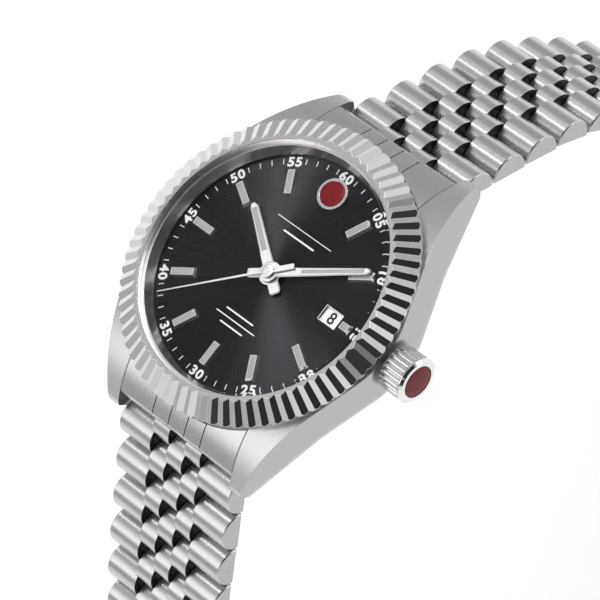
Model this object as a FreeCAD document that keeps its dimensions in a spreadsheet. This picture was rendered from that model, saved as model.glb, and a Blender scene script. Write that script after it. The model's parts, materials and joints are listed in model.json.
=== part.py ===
"""Automatic wristwatch: steel case, fluted bezel, three hands, date, five-column bracelet and folding clasp.

Frame: +Z is the dial's normal, +Y points to 12 o'clock, +X to the crown at 3 o'clock.
The origin is the centre of the case back's outer face. All lengths are millimetres, angles are degrees.
"""
import FreeCAD, Part
import Sketcher
import math
import os

VALUES = {
    # case
    "case_half": 19.65, "flank_radius": 13.75, "flank_lean": 21.0, "case_top": 7.8, "case_bottom": 1.9,
    "lug_reach": 23.2, "lug_gap": 20.0, "lug_tip_low": 0.1, "lug_tip_mid": 1.75, "lug_back": 0.35,
    "shoulder_y": 10.5, "shoulder_radius": 17.0, "belly_y": 12.0, "bevel_height": 1.0, "bevel_depth": 0.3,
    "neck_radius": 19.2, "neck_top": 8.75, "groove_low": 8.2, "groove_width": 0.14, "groove_depth": 0.2,
    "back_bore": 16.6, "movement_bore": 15.7, "dial_bore": 16.25, "flange_bore": 16.85,
    "back_bore_top": 3.3, "dial_low": 7.2, "dial_top": 7.6,
    "spring_bar_y": 20.6, "spring_bar_z": 2.5, "spring_bar_radius": 0.75,
    # bezel, crystal and inner flange
    "bezel_low": 8.8, "bezel_radius": 19.7, "bezel_edge": 8.97, "bezel_top": 10.55, "bezel_crest": 17.2,
    "bezel_bore": 16.42, "bezel_shelf": 9.5, "flutes": 72, "flute_depth": 0.52,
    "crystal_radius": 16.38, "crystal_low": 9.52, "crystal_top": 10.72, "crystal_bevel": 0.22,
    "flange_inner": 15.45, "flange_outer": 16.8, "flange_lip": 15.95, "flange_top": 9.46,
    # dial and its furniture
    "dial_radius": 16.15, "dial_hole": 1.15, "date_x": 10.2, "date_length": 2.7, "date_width": 1.9,
    "marker_inner": 10.15, "marker_outer": 13.6, "marker_width": 1.3, "marker_height": 0.45,
    "marker_slope": 22.0, "short_marker_inner": 12.0, "insert_width": 0.62, "insert_depth": 0.16,
    "emblem_y": 12.0, "emblem_radius": 2.0, "emblem_recess": 1.68, "emblem_height": 0.4,
    # hands and the time they show
    "hour_angle": 305.0, "minute_angle": 57.8, "second_angle": 228.0,
    "hour_low": 7.98, "hour_length": 10.0, "hour_tail": 2.85, "hour_width": 1.5, "hand_thickness": 0.22,
    "minute_low": 8.4, "minute_length": 13.3, "minute_tail": 2.9, "minute_width": 1.25,
    "second_low": 8.82, "second_length": 14.5, "second_tail": 3.5, "second_width": 0.26, "tail_width": 0.7,
    # crown, tube and stem
    "crown_z": 4.9, "crown_inner": 19.95, "crown_outer": 23.45, "crown_radius": 3.0, "crown_ridges": 24,
    "crown_scoop": 3.45, "scoop_x": 19.3, "inlay_radius": 2.15, "inlay_depth": 0.2, "tube_radius": 1.3,
    "tube_bore": 0.57, "tube_inner": 15.75, "tube_outer": 22.0, "stem_radius": 0.5, "stem_inner": 10.0,
    # back
    "back_flange": 17.7, "back_collar": 16.5, "back_window": 13.9, "back_opening": 13.0, "window_thick": 0.9,
    # movement
    "movement_radius": 12.9, "plate_low": 5.7, "plate_top": 6.5, "bridge_low": 2.9, "bridge_top": 3.65,
    "third_distance": 6.0, "third_bearing": 200.0, "barrel_distance": 5.95, "barrel_bearing": 60.0,
    "escape_distance": 5.85, "escape_bearing": 300.0, "balance_x": -2.1, "balance_y": -8.6,
    "pallet_x": 0.87, "pallet_y": -7.2, "cock_x": -8.0, "cock_y": -8.3, "motion_distance": 3.6,
    "motion_bearing": 150.0, "arbor_radius": 0.2, "pillar_radius": 0.85, "pillar_orbit": 11.9,
    "centre_low": 4.35, "centre_pinion_low": 4.5,
    "cannon_low": 6.55, "cannon_top": 8.72, "cannon_radius": 0.5,
    "barrel_low": 4.65, "barrel_top": 5.55, "third_low": 4.02, "third_pinion_low": 4.17, "fourth_low": 3.8,
    "fourth_pinion_low": 3.95, "escape_low": 4.6, "escape_pinion_low": 3.76, "escape_radius": 2.1,
    "wheel_thickness": 0.15, "minute_wheel_low": 6.58, "minute_pinion_low": 6.74, "hour_wheel_low": 6.86,
    "hour_pipe_top": 8.24, "hour_pipe_radius": 0.85, "hour_pipe_bore": 0.57, "balance_low": 4.8,
    "balance_thickness": 0.25, "spring_low": 5.12, "spring_height": 0.14, "screw_radius": 0.58,
    "cock_half": 1.3,
    "rotor_radius": 12.6, "rotor_rim": 10.4, "rotor_low": 1.5, "rotor_top": 2.65, "post_radius": 0.85,
    "ring_outer": 15.6, "ring_inner": 12.97, "date_outer": 12.3, "date_inner": 8.5, "date_low": 6.93,
    "balance_radius": 2.9,
    # bracelet
    "pitch": 5.6, "piece_length": 5.15, "piece_height": 2.9, "piece_foot": 0.4, "pin_height": 1.2,
    "pin_radius": 0.6, "running_gap": 0.05, "inner_width": 2.8, "outer_width": 5.6, "taper": 0.12,
    "side_gap": 0.04, "end_wall": 0.65, "end_bevel": 0.14, "bevel_angle": 42.0,
    "first_pin_y": 22.4, "first_pin_z": -0.1, "end_slope": 42.0,
    # clasp
    "clasp_radius": 80.0, "clasp_chord": 42.65, "clasp_lead": 15.8, "cover_thick": 0.9, "cover_rise": 1.7,
    "skirt": 7.4, "skirt_thick": 0.8, "blade_half": 6.9, "knuckle_half": 3.0, "knuckle_radius": 0.78,
    "clasp_pin": 0.4, "button_radius": 1.0, "button_inset": 15.0, "button_rise": -0.1,
}

# slope of every bracelet node below the horizontal, from the case outwards, and its number of pitches
# the two halves hang open; each hidden node's hinge can bend further inwards until the loop closes
UPPER_SLOPES = [38, 37, 39, 46, 55, 61, 66, 71, 79, 85, 88]
LOWER_SLOPES = [47, 48, 48, 49, 51, 57, 73, 85]
SINGLE_UPPER = 8
SINGLE_LOWER = 5

# teeth of each wheel and pinion
TEETH = {"barrel": 75, "centre_pinion": 10, "centre": 80, "third_pinion": 10, "third": 75,
         "fourth_pinion": 10, "fourth": 80, "escape_pinion": 10, "escape": 20,
         "cannon": 12, "minute": 36, "minute_pinion": 10, "hour": 40}

X_AXIS = FreeCAD.Vector(1, 0, 0)
Y_AXIS = FreeCAD.Vector(0, 1, 0)
Z_AXIS = FreeCAD.Vector(0, 0, 1)
ACROSS = FreeCAD.Rotation(FreeCAD.Vector(1, 1, 1), 120)   # lays a sketch in the YZ plane
SIDEWAYS = FreeCAD.Rotation(Y_AXIS, 90)                   # turns a tool's Z axis to +X

doc = FreeCAD.newDocument("wristwatch")
sheet = doc.addObject("Spreadsheet::Sheet", "size")
for row, (alias, value) in enumerate(VALUES.items(), start=1):
    sheet.set(f"A{row}", alias)
    sheet.set(f"B{row}", str(value))
    sheet.setAlias(f"B{row}", alias)
doc.recompute()
nodes = []


# ---------------------------------------------------------------- helpers

def number(expression):
    """The value of an expression in the sheet's aliases."""
    return float(sheet.evalExpression(expression.replace("size.", "")))


def bind(obj, expressions):
    """Drive properties of an object by expressions in the sheet's aliases."""
    for place, expression in expressions.items():
        obj.setExpression(place, expression)


def keep(obj, label):
    """Name a finished sub-part and list it for export."""
    obj.Label = label
    nodes.append(obj)
    return obj


def cylinder(radius, low, high, x="0", y="0"):
    """An upright cylinder between two heights."""
    tool = doc.addObject("Part::Cylinder", "cylinder")
    bind(tool, {"Radius": radius, "Height": f"({high}) - ({low})", "Placement.Base.x": x,
                "Placement.Base.y": y, "Placement.Base.z": low})
    return tool


def rod(radius, start, end, y="0", z="0"):
    """A cylinder along X between two stations."""
    tool = doc.addObject("Part::Cylinder", "rod")
    tool.Placement.Rotation = SIDEWAYS
    bind(tool, {"Radius": radius, "Height": f"({end}) - ({start})", "Placement.Base.x": start,
                "Placement.Base.y": y, "Placement.Base.z": z})
    return tool


def block(x_low, x_high, y_low, y_high, z_low, z_high):
    """A box between six planes."""
    tool = doc.addObject("Part::Box", "block")
    bind(tool, {"Length": f"({x_high}) - ({x_low})", "Width": f"({y_high}) - ({y_low})",
                "Height": f"({z_high}) - ({z_low})", "Placement.Base.x": x_low,
                "Placement.Base.y": y_low, "Placement.Base.z": z_low})
    return tool


def fuse(*shapes):
    joined = doc.addObject("Part::MultiFuse", "joined")
    joined.Shapes = list(shapes)
    return joined


def cut(base, *tools):
    """The base with one or more tools taken out of it."""
    result = doc.addObject("Part::Cut", "cut")
    result.Base = base
    result.Tool = tools[0] if len(tools) == 1 else fuse(*tools)
    return result


def common(first, second):
    result = doc.addObject("Part::Common", "shared")
    result.Base = first
    result.Tool = second
    return result


def group(shapes, placement=None):
    """Several solids kept apart in one object, optionally moved together."""
    result = doc.addObject("Part::Compound", "group")
    result.Links = list(shapes)
    if placement is not None:
        result.Placement = placement
    return result


def feature(shape, placement=None):
    result = doc.addObject("Part::Feature", "shape")
    result.Shape = shape
    if placement is not None:
        result.Placement = placement
    return result


def spin(angle):
    """A turn about the dial's normal."""
    return FreeCAD.Placement(FreeCAD.Vector(0, 0, 0), FreeCAD.Rotation(Z_AXIS, angle))


def arc_side(start, end, radius):
    """An arc that turns left for a positive radius and right for a negative one."""
    along = end - start
    left = FreeCAD.Vector(-along.y, along.x, 0).normalize() * (1 if radius > 0 else -1)
    rise = math.sqrt(max(0.0, radius ** 2 - (along.Length / 2) ** 2))
    middle = (start + end) * 0.5 + left * (rise - abs(radius))
    return Part.Arc(start, middle, end)


def outline(sketch, corners):
    """A closed outline in a sketch.

    Each corner is (x, y) or (x, y, radius), all expressions; the radius bends the side that starts there.
    """
    points = [FreeCAD.Vector(number(c[0]), number(c[1]), 0) for c in corners]
    ends = []
    for i, corner in enumerate(corners):
        start, end = points[i], points[(i + 1) % len(points)]
        if len(corner) == 2:
            geo = sketch.addGeometry(Part.LineSegment(start, end))
            ends.append((geo, 1, 2))
            continue
        radius = number(corner[2])
        geo = sketch.addGeometry(arc_side(start, end, radius))
        ends.append((geo, 1, 2) if radius > 0 else (geo, 2, 1))
        place = sketch.addConstraint(Sketcher.Constraint("Radius", geo, abs(radius)))
        sketch.setExpression(f"Constraints[{place}]", f"abs({corner[2]})")
    for i, (geo, first, last) in enumerate(ends):
        following, at = ends[(i + 1) % len(ends)][:2]
        sketch.addConstraint(Sketcher.Constraint("Coincident", geo, last, following, at))
        for kind, expression, value in (("DistanceX", corners[i][0], points[i].x),
                                        ("DistanceY", corners[i][1], points[i].y)):
            place = sketch.addConstraint(Sketcher.Constraint(kind, -1, 1, geo, first, value))
            sketch.setExpression(f"Constraints[{place}]", expression)
    return sketch


def circle(sketch, x, y, radius):
    """A full circle in a sketch, all three values expressions."""
    centre = FreeCAD.Vector(number(x), number(y), 0)
    geo = sketch.addGeometry(Part.Circle(centre, Z_AXIS, number(radius)))
    for constraint, expression in (
            (Sketcher.Constraint("Radius", geo, number(radius)), radius),
            (Sketcher.Constraint("DistanceX", -1, 1, geo, 3, centre.x), x),
            (Sketcher.Constraint("DistanceY", -1, 1, geo, 3, centre.y), y)):
        place = sketch.addConstraint(constraint)
        sketch.setExpression(f"Constraints[{place}]", expression)


def free_sketch(rotation=FreeCAD.Rotation()):
    sketch = doc.addObject("Sketcher::SketchObject", "outline")
    sketch.Placement = FreeCAD.Placement(FreeCAD.Vector(0, 0, 0), rotation)
    return sketch


def extrude(sketch, direction, low, high, taper=None):
    """A prism of a sketch between two stations along a direction."""
    solid = doc.addObject("Part::Extrusion", "prism")
    solid.Base = sketch
    solid.DirMode = "Custom"
    solid.Dir = direction
    solid.Solid = True
    bind(solid, {"LengthFwd": high, "LengthRev": f"-({low})"})
    if taper is not None:
        bind(solid, {"TaperAngle": taper})
    return solid


def turned(label, corners):
    """A turned part: a PartDesign body revolved about Z from an outline of (radius, height) corners."""
    body = doc.addObject("PartDesign::Body", label)
    sketch = body.newObject("Sketcher::SketchObject", "profile")
    plane = [f for f in body.Origin.OriginFeatures if f.Role == "XZ_Plane"][0]
    sketch.AttachmentSupport = [(plane, "")]
    sketch.MapMode = "FlatFace"
    outline(sketch, corners)
    turn = body.newObject("PartDesign::Revolution", "turn")
    turn.Profile = sketch
    turn.ReferenceAxis = (sketch, ["V_Axis"])
    turn.Angle = 360
    body.Tip = turn
    return body


def polar(radius, angle, height=0.0):
    turn = math.radians(angle)
    return FreeCAD.Vector(radius * math.cos(turn), radius * math.sin(turn), height)


def prism(points, height):
    """A straight prism over a closed ring of points."""
    wire = Part.makePolygon(points + points[:1])
    return Part.Face(wire).extrude(FreeCAD.Vector(0, 0, height))


# ---------------------------------------------------------------- case

def mid_case():
    """Middle of the case: a barrel-sided plan crossed with an arched side view, lugs and a round neck."""
    lean = "(size.flank_lean * 1 deg)"
    waist_x = f"(size.case_half - size.flank_radius + size.flank_radius * cos{lean})"
    waist_y = f"(size.flank_radius * sin{lean})"
    tip_x = f"({waist_x} - (size.lug_reach - {waist_y}) * tan{lean})"
    plan = outline(free_sketch(), [
        (waist_x, f"-{waist_y}", "size.flank_radius"), (waist_x, waist_y),
        (tip_x, "size.lug_reach"), (f"-{tip_x}", "size.lug_reach"),
        (f"-{waist_x}", waist_y, "size.flank_radius"), (f"-{waist_x}", f"-{waist_y}"),
        (f"-{tip_x}", "-size.lug_reach"), (tip_x, "-size.lug_reach")])
    tip = "size.lug_reach - size.lug_back"
    centre_height = "size.case_top - size.shoulder_radius"
    tip_top = (f"{centre_height} + sqrt(size.shoulder_radius ^ 2"
               f" - (size.lug_reach - size.lug_back - size.shoulder_y) ^ 2)")
    side = outline(free_sketch(ACROSS), [
        (f"-({tip} - 0.4)", "size.lug_tip_low"),
        ("-size.belly_y", "size.case_bottom"),
        ("size.belly_y", "size.case_bottom"),
        (f"{tip} - 0.4", "size.lug_tip_low"),
        ("size.lug_reach", "size.lug_tip_mid"),
        (tip, tip_top, "size.shoulder_radius"),
        ("size.shoulder_y", "size.case_top"),
        ("-size.shoulder_y", "size.case_top", "size.shoulder_radius"),
        (f"-({tip})", tip_top),
        ("-size.lug_reach", "size.lug_tip_mid")])
    shell = common(extrude(plan, Z_AXIS, "-1", "size.neck_top"), extrude(side, X_AXIS, "-25", "25"))
    doc.recompute()
    bevelled = doc.addObject("Part::Chamfer", "bevelled")
    bevelled.Base = shell
    bevelled.Edges = flank_bevels(shell.Shape, number("size.bevel_height"), number("size.bevel_depth"))
    neck = cylinder("size.neck_radius", "size.case_bottom + size.bevel_height", "size.neck_top")
    body = fuse(bevelled, neck)
    tools = [cut(block("-size.lug_gap / 2", "size.lug_gap / 2", near, far, "-2", "12"),
                 cylinder("size.neck_radius", "-3", "13"))
             for near, far in (("14", "30"), ("-30", "-14"))]
    tools += [
        cylinder("size.back_flange + 0.05", "-2", "size.case_bottom"),
        block("-size.lug_gap / 2", "size.lug_gap / 2", "-30", "30", "-2", "size.case_bottom"),
        cylinder("size.back_bore", "0", "size.back_bore_top"),
        cylinder("size.movement_bore", "1", "size.dial_low - 0.04"),
        cylinder("size.dial_bore", "size.dial_low - 0.04", "size.dial_top + 0.02"),
        cylinder("size.flange_bore", "size.dial_top + 0.02", "12"),
        cut(cylinder("size.neck_radius + 1", "size.groove_low", "size.groove_low + size.groove_width"),
            cylinder("size.neck_radius - size.groove_depth", "0", "12")),
        rod("size.crown_scoop", "size.scoop_x", "26", z="size.crown_z"),
        rod("size.tube_radius", "14", "26", z="size.crown_z")]
    for side_y in ("size.spring_bar_y", "-size.spring_bar_y"):
        reach = "size.lug_gap / 2 + 1.6"
        tools.append(rod("size.spring_bar_radius + 0.02", f"-({reach})", reach, side_y, "size.spring_bar_z"))
    return keep(cut(body, *tools), "mid_case")


def flank_bevels(shape, height, depth):
    """A tall, shallow chamfer for each edge between the flanks and the underside, from lug tip to lug tip."""
    found = []
    for i, edge in enumerate(shape.Edges, start=1):
        box = edge.BoundBox
        if box.ZMax > number("size.case_bottom") + 0.01 or box.YLength < 5 or box.XMax * box.XMin < 0:
            continue
        face = shape.ancestorsOfType(edge, Part.Face)[0]
        first, last, low, high = face.ParameterRange
        upright = abs(face.normalAt((first + last) / 2, (low + high) / 2).z) < 0.5
        found.append((i, height, depth) if upright else (i, depth, height))
    return found


def bezel():
    """Fluted bezel: a many-sided pyramid frustum, held inside a turned ring."""
    count = int(number("size.flutes"))
    rise = number("size.bezel_top") - number("size.bezel_edge")
    run = number("size.bezel_radius") - number("size.bezel_crest")
    apex = number("size.bezel_edge") + number("size.bezel_radius") * rise / run
    depth = number("size.flute_depth") / number("size.bezel_radius")

    def ring(height):
        crest = (apex - height) * run / rise
        points = []
        for i in range(count):
            points.append(polar(crest, 360.0 * i / count, height))
            points.append(polar(crest * (1 - depth), 360.0 * (i + 0.5) / count, height))
        return Part.makePolygon(points + points[:1])

    low = number("size.bezel_low")
    flutes = feature(Part.makeLoft([ring(low), ring(number("size.bezel_top"))], True, True))
    limit = cylinder("size.bezel_radius", "size.bezel_low", "size.bezel_top")
    bore = fuse(cylinder("size.bezel_bore", "8", "11"), cylinder("size.flange_bore", "8", "size.bezel_shelf"))
    return keep(cut(common(limit, flutes), bore), "bezel")


def case_turnings():
    """The turned pieces above and below the case."""
    keep(turned("crystal", [
        ("0", "size.crystal_low"), ("size.crystal_radius", "size.crystal_low"),
        ("size.crystal_radius", "size.crystal_top - size.crystal_bevel"),
        ("size.crystal_radius - size.crystal_bevel", "size.crystal_top"),
        ("0", "size.crystal_top")]), "crystal")
    keep(turned("rehaut", [
        ("size.flange_inner", "size.dial_top + 0.02"), ("size.flange_outer", "size.dial_top + 0.04"),
        ("size.flange_outer", "size.flange_top"), ("size.flange_lip", "size.flange_top"),
        ("size.flange_inner", "size.dial_top + 0.35")]), "rehaut")
    keep(turned("back_window", [
        ("0", "0"), ("size.back_opening - 0.02", "0"), ("size.back_opening - 0.02", "size.window_thick / 2"),
        ("size.back_window", "size.window_thick / 2"), ("size.back_window", "size.window_thick"),
        ("0", "size.window_thick")]), "back_window")
    back = turned("case_back_ring", [
        ("size.back_opening", "0"), ("size.back_flange - 0.5", "0"), ("size.back_flange", "0.5"),
        ("size.back_flange", "size.case_bottom - 0.02"), ("size.back_collar", "size.case_bottom - 0.02"),
        ("size.back_collar", "size.back_bore_top - 0.1"), ("size.back_window + 0.02", "size.back_bore_top - 0.1"),
        ("size.back_window + 0.02", "size.window_thick / 2 - 0.02"),
        ("size.back_opening", "size.window_thick / 2 - 0.02")])
    notches = []
    for i in range(6):
        notch = block("size.back_flange - 1.5", "size.back_flange + 1", "-1.2", "1.2", "-1", "0.9")
        notches.append(group([notch], spin(60 * i + 30)))
    keep(cut(back, *notches), "case_back")
    ring = cut(cylinder("size.ring_outer", "size.back_bore_top + 0.05", "size.dial_low - 0.02"),
               cylinder("size.ring_inner", "2", "8"), rod("size.tube_bore", "10", "20", z="size.crown_z"))
    keep(ring, "movement_ring")


def dial_group():
    """Dial with its date window, the applied markers with pockets for their inserts, and the emblem."""
    window = block("size.date_x - size.date_length / 2", "size.date_x + size.date_length / 2",
                   "-size.date_width / 2", "size.date_width / 2", "7", "8")
    keep(cut(cylinder("size.dial_radius", "size.dial_low", "size.dial_top"),
             cylinder("size.dial_hole", "7", "8"), window), "dial")
    markers = []
    for start, hours in (("size.marker_inner", [1, 2, 4, 5, 6, 7, 8, 9, 10, 11]),
                         ("size.short_marker_inner", [3])):
        base = outline(free_sketch(), [
            ("size.marker_width / 2", start), ("size.marker_width / 2", "size.marker_outer"),
            ("-size.marker_width / 2", "size.marker_outer"), ("-size.marker_width / 2", start)])
        bar = extrude(base, Z_AXIS, "0", "size.marker_height", "-size.marker_slope")
        bind(bar, {"Placement.Base.z": "size.dial_top"})
        pocket = block("-size.insert_width / 2", "size.insert_width / 2", f"{start} + 0.42",
                       "size.marker_outer - 0.42",
                       "size.dial_top + size.marker_height - size.insert_depth", "9")
        marker = cut(bar, pocket)
        markers += [group([marker], spin(-30 * hour)) for hour in hours]
    keep(group(markers), "hour_markers")
    top = "size.dial_top + size.emblem_height"
    keep(cut(cylinder("size.emblem_radius", "size.dial_top", top, y="size.emblem_y"),
             cylinder("size.emblem_recess", f"{top} - 0.1", "9", y="size.emblem_y")), "dial_emblem")


def hand(label, low, half, tip, tail, bore, hub, angle, groove=None):
    """A baton hand with a round tip, its hub, and a groove for its insert."""
    bend = f"1.02 * ({half})"
    blade = outline(free_sketch(), [
        (half, f"-({tail}) + ({half})"), (half, f"({tip}) - ({half})", bend),
        (f"-({half})", f"({tip}) - ({half})"), (f"-({half})", f"-({tail}) + ({half})", bend)])
    high = f"({low}) + size.hand_thickness"
    body = extrude(blade, Z_AXIS, low, high)
    solids = fuse(body, cylinder(hub, low, f"({high}) + 0.06"))
    tools = [cylinder(bore, "7", "10")]
    if groove:
        tools.append(block("-size.insert_width / 2", "size.insert_width / 2", groove[0], groove[1],
                           f"({high}) - 0.08", "10"))
    return keep(group([cut(solids, *tools)], spin(-number(angle))), label)


def hands():
    hand("hour_hand", "size.hour_low", "size.hour_width / 2", "size.hour_length", "size.hour_tail",
         "0.86", "1.5", "size.hour_angle", ("2.6", "size.hour_length - 1.0"))
    hand("minute_hand", "size.minute_low", "size.minute_width / 2", "size.minute_length",
         "size.minute_tail", "0.51", "1.25", "size.minute_angle", ("2.6", "size.minute_length - 0.9"))
    low = "size.second_low"
    high = "size.second_low + size.hand_thickness - 0.06"
    needle = block("-size.second_width / 2", "size.second_width / 2", "-1", "size.second_length", low, high)
    tail = outline(free_sketch(), [
        ("size.tail_width / 2", "-size.second_tail + size.tail_width / 2"), ("size.tail_width / 2", "0"),
        ("-size.tail_width / 2", "0"),
        ("-size.tail_width / 2", "-size.second_tail + size.tail_width / 2", "0.51 * size.tail_width")])
    weight = extrude(tail, Z_AXIS, low, high)
    hub = cylinder("0.8", low, "size.second_low + 0.3")
    body = cut(fuse(needle, weight, hub), cylinder("size.arbor_radius + 0.01", "8", "size.second_low + 0.2"))
    keep(group([body], spin(-number("size.second_angle"))), "second_hand")


def crown_group():
    """Crown with rounded ridges, the tube it runs on, its seal and the stem that it turns."""
    count = int(number("size.crown_ridges"))
    height = "size.crown_z"
    end = "size.crown_outer"
    ridges = [rod("size.crown_radius - 0.28", "size.crown_inner", f"{end} - 0.55", z=height)]
    for i in range(count):
        turn = f"{360.0 * i / count} * 1 deg"
        ridges.append(rod("0.33", "size.crown_inner", f"{end} - 0.5",
                          f"(size.crown_radius - 0.33) * cos({turn})",
                          f"{height} + (size.crown_radius - 0.33) * sin({turn})"))
    rim = outline(free_sketch(), [
        (f"{end} - 0.6", "0"), (f"{end} - 0.6", "size.crown_radius - 0.1"),
        (f"{end} - 0.42", "size.crown_radius"), (f"{end} - 0.3", "size.crown_radius"),
        (end, "size.crown_radius - 0.38"), (end, "0")])
    head = doc.addObject("Part::Revolution", "head")
    head.Source = rim
    head.Axis = X_AXIS
    head.Angle = 360
    head.Solid = True
    bind(head, {"Placement.Base.z": height})
    body = fuse(*ridges, head)
    cavity = rod("size.tube_radius + 0.08", "size.crown_inner - 1", "size.tube_outer + 0.15", z=height)
    seal_room = rod("size.tube_radius + 0.62", "size.crown_inner + 0.3", "size.crown_inner + 0.95", z=height)
    socket = rod("size.stem_radius", "size.crown_inner", "size.crown_outer - 0.9", z=height)
    inlay = rod("size.inlay_radius", f"{end} - size.inlay_depth", f"{end} + 1", z=height)
    keep(cut(body, cavity, seal_room, socket, inlay), "crown")
    keep(cut(rod("size.tube_radius + 0.58", "size.crown_inner + 0.34", "size.crown_inner + 0.91", z=height),
             rod("size.tube_radius + 0.03", "19", "23", z=height)), "crown_gasket")
    keep(cut(rod("size.tube_radius", "size.tube_inner", "size.tube_outer", z=height),
             rod("size.tube_bore", "10", "25", z=height)), "crown_tube")
    keep(rod("size.stem_radius", "size.stem_inner", "size.crown_outer - 0.9", z=height), "winding_stem")


# ---------------------------------------------------------------- movement

def toothed(teeth, radius, phase, height):
    """A gear blank: thin tapering teeth about its pitch circle, with one tooth centred on the phase angle."""
    module = 2.0 * radius / teeth
    step = 360.0 / teeth
    points = []
    for i in range(teeth):
        centre = phase + i * step
        for share, rise in ((-0.27, -1.2), (-0.19, 0.0), (-0.07, 0.85),
                            (0.07, 0.85), (0.19, 0.0), (0.27, -1.2)):
            points.append(polar(radius + rise * module, centre + share * step))
    return prism(points, height)


def meshed(phase, teeth, bearing, other_teeth):
    """The phase of a gear that meshes with one of the given phase along a bearing."""
    step = 360.0 / teeth
    lead = (bearing - phase) % step
    gap = bearing + 180.0 + lead * teeth / other_teeth
    return gap + 180.0 / other_teeth


def raised(shape, height):
    shape.translate(FreeCAD.Vector(0, 0, height))
    return shape


def disc(radius, low, high):
    return Part.makeCylinder(radius, high - low, FreeCAD.Vector(0, 0, low))


def spoked(shape, count, inner, outer, low, high, phase=0.0):
    """A wheel with its web cut into spokes."""
    for i in range(count):
        room = Part.makeCylinder(outer, high - low, FreeCAD.Vector(0, 0, low), Z_AXIS, 360.0 / count - 16)
        room = room.cut(disc(inner, low - 1, high + 1))
        room.rotate(FreeCAD.Vector(0, 0, 0), Z_AXIS, 360.0 * i / count + phase)
        shape = shape.cut(room)
    return shape


def gear_pair(wheel_teeth, pinion_teeth, distance):
    """Pitch radii of a wheel and pinion at a distance."""
    return (distance * wheel_teeth / (wheel_teeth + pinion_teeth),
            distance * pinion_teeth / (wheel_teeth + pinion_teeth))


def place(label, shape, centre):
    keep(feature(shape.removeSplitter(), FreeCAD.Placement(centre, FreeCAD.Rotation())), label)


def going_train():
    """Barrel, centre, third, fourth and escape wheels, each one solid with its pinion and arbor."""
    third_at, third_bearing = number("size.third_distance"), number("size.third_bearing")
    barrel_at, barrel_bearing = number("size.barrel_distance"), number("size.barrel_bearing")
    escape_at, escape_bearing = number("size.escape_distance"), number("size.escape_bearing")
    arbor, thick = number("size.arbor_radius"), number("size.wheel_thickness")
    bottom = number("size.bridge_top")
    centre_wheel, third_pinion = gear_pair(TEETH["centre"], TEETH["third_pinion"], third_at)
    third_wheel, fourth_pinion = gear_pair(TEETH["third"], TEETH["fourth_pinion"], third_at)
    fourth_wheel, escape_pinion = gear_pair(TEETH["fourth"], TEETH["escape_pinion"], escape_at)
    barrel_wheel, centre_pinion = gear_pair(TEETH["barrel"], TEETH["centre_pinion"], barrel_at)

    # centre wheel: wheel, pinion, hollow arbor and the cannon pinion on the dial side
    cannon_pitch = number("size.motion_distance") * TEETH["cannon"] / (TEETH["cannon"] + TEETH["minute"])
    low = number("size.centre_low")
    centre = spoked(raised(toothed(TEETH["centre"], centre_wheel, third_bearing, thick), low),
                    5, 1.1, centre_wheel - 0.75, low, low + thick)
    centre_pinion_phase = meshed(0, TEETH["barrel"], barrel_bearing + 180, TEETH["centre_pinion"])
    centre = centre.fuse([
        raised(toothed(TEETH["centre_pinion"], centre_pinion, centre_pinion_phase, 0.55),
               number("size.centre_pinion_low")),
        raised(toothed(TEETH["cannon"], cannon_pitch, 0, 0.25), number("size.cannon_low")),
        disc(number("size.cannon_radius"), low - 0.05, number("size.cannon_top"))])
    place("centre_wheel", centre.cut(disc(arbor + 0.07, 4, 9)), FreeCAD.Vector(0, 0, 0))

    # barrel: toothed drum with a recessed face and its arbor
    low, high = number("size.barrel_low"), number("size.barrel_top")
    drum = raised(toothed(TEETH["barrel"], barrel_wheel, 0, 0.25), low)
    drum = drum.fuse([disc(barrel_wheel - 0.3, low, high), disc(0.5, low - 0.3, high + 0.1)])
    place("barrel", drum, polar(barrel_at, barrel_bearing))

    # third wheel
    third_pinion_phase = meshed(third_bearing, TEETH["centre"], third_bearing, TEETH["third_pinion"])
    low = number("size.third_low")
    third = spoked(raised(toothed(TEETH["third"], third_wheel, third_bearing + 180, thick), low),
                   4, 0.9, third_wheel - 0.7, low, low + thick)
    third = third.fuse([
        raised(toothed(TEETH["third_pinion"], third_pinion, third_pinion_phase, 0.42),
               number("size.third_pinion_low")),
        disc(arbor, bottom + 0.03, number("size.plate_low") - 0.03)])
    place("third_wheel", third, polar(third_at, third_bearing))

    # fourth wheel, on the arbor that passes through the centre wheel to the seconds hand
    back = third_bearing + 180
    fourth_pinion_phase = meshed(back, TEETH["third"], back, TEETH["fourth_pinion"])
    low = number("size.fourth_low")
    fourth = spoked(raised(toothed(TEETH["fourth"], fourth_wheel, escape_bearing, thick), low),
                    5, 0.9, fourth_wheel - 0.7, low, low + thick, 20.0)
    fourth = fourth.fuse([
        raised(toothed(TEETH["fourth_pinion"], fourth_pinion, fourth_pinion_phase, 0.27),
               number("size.fourth_pinion_low")),
        disc(arbor, bottom + 0.03, number("size.second_low") + 0.18)])
    place("fourth_wheel", fourth, FreeCAD.Vector(0, 0, 0))

    # escape wheel with slanted club teeth
    escape_pinion_phase = meshed(escape_bearing, TEETH["fourth"], escape_bearing, TEETH["escape_pinion"])
    tip, low = number("size.escape_radius"), number("size.escape_low")
    root = tip - 0.48
    points = []
    step = 360.0 / TEETH["escape"]
    for i in range(TEETH["escape"]):
        for share, radius in ((0.0, root), (0.42, tip), (0.62, tip - 0.04), (0.5, root)):
            points.append(polar(radius, (i + share) * step))
    escape = spoked(raised(prism(points, 0.12), low), 4, 0.55, root - 0.27, low, low + 0.12)
    escape = escape.fuse([
        raised(toothed(TEETH["escape_pinion"], escape_pinion, escape_pinion_phase, 0.3),
               number("size.escape_pinion_low")),
        disc(arbor, bottom + 0.03, number("size.plate_low") - 0.03)])
    place("escape_wheel", escape, polar(escape_at, escape_bearing))


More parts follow.
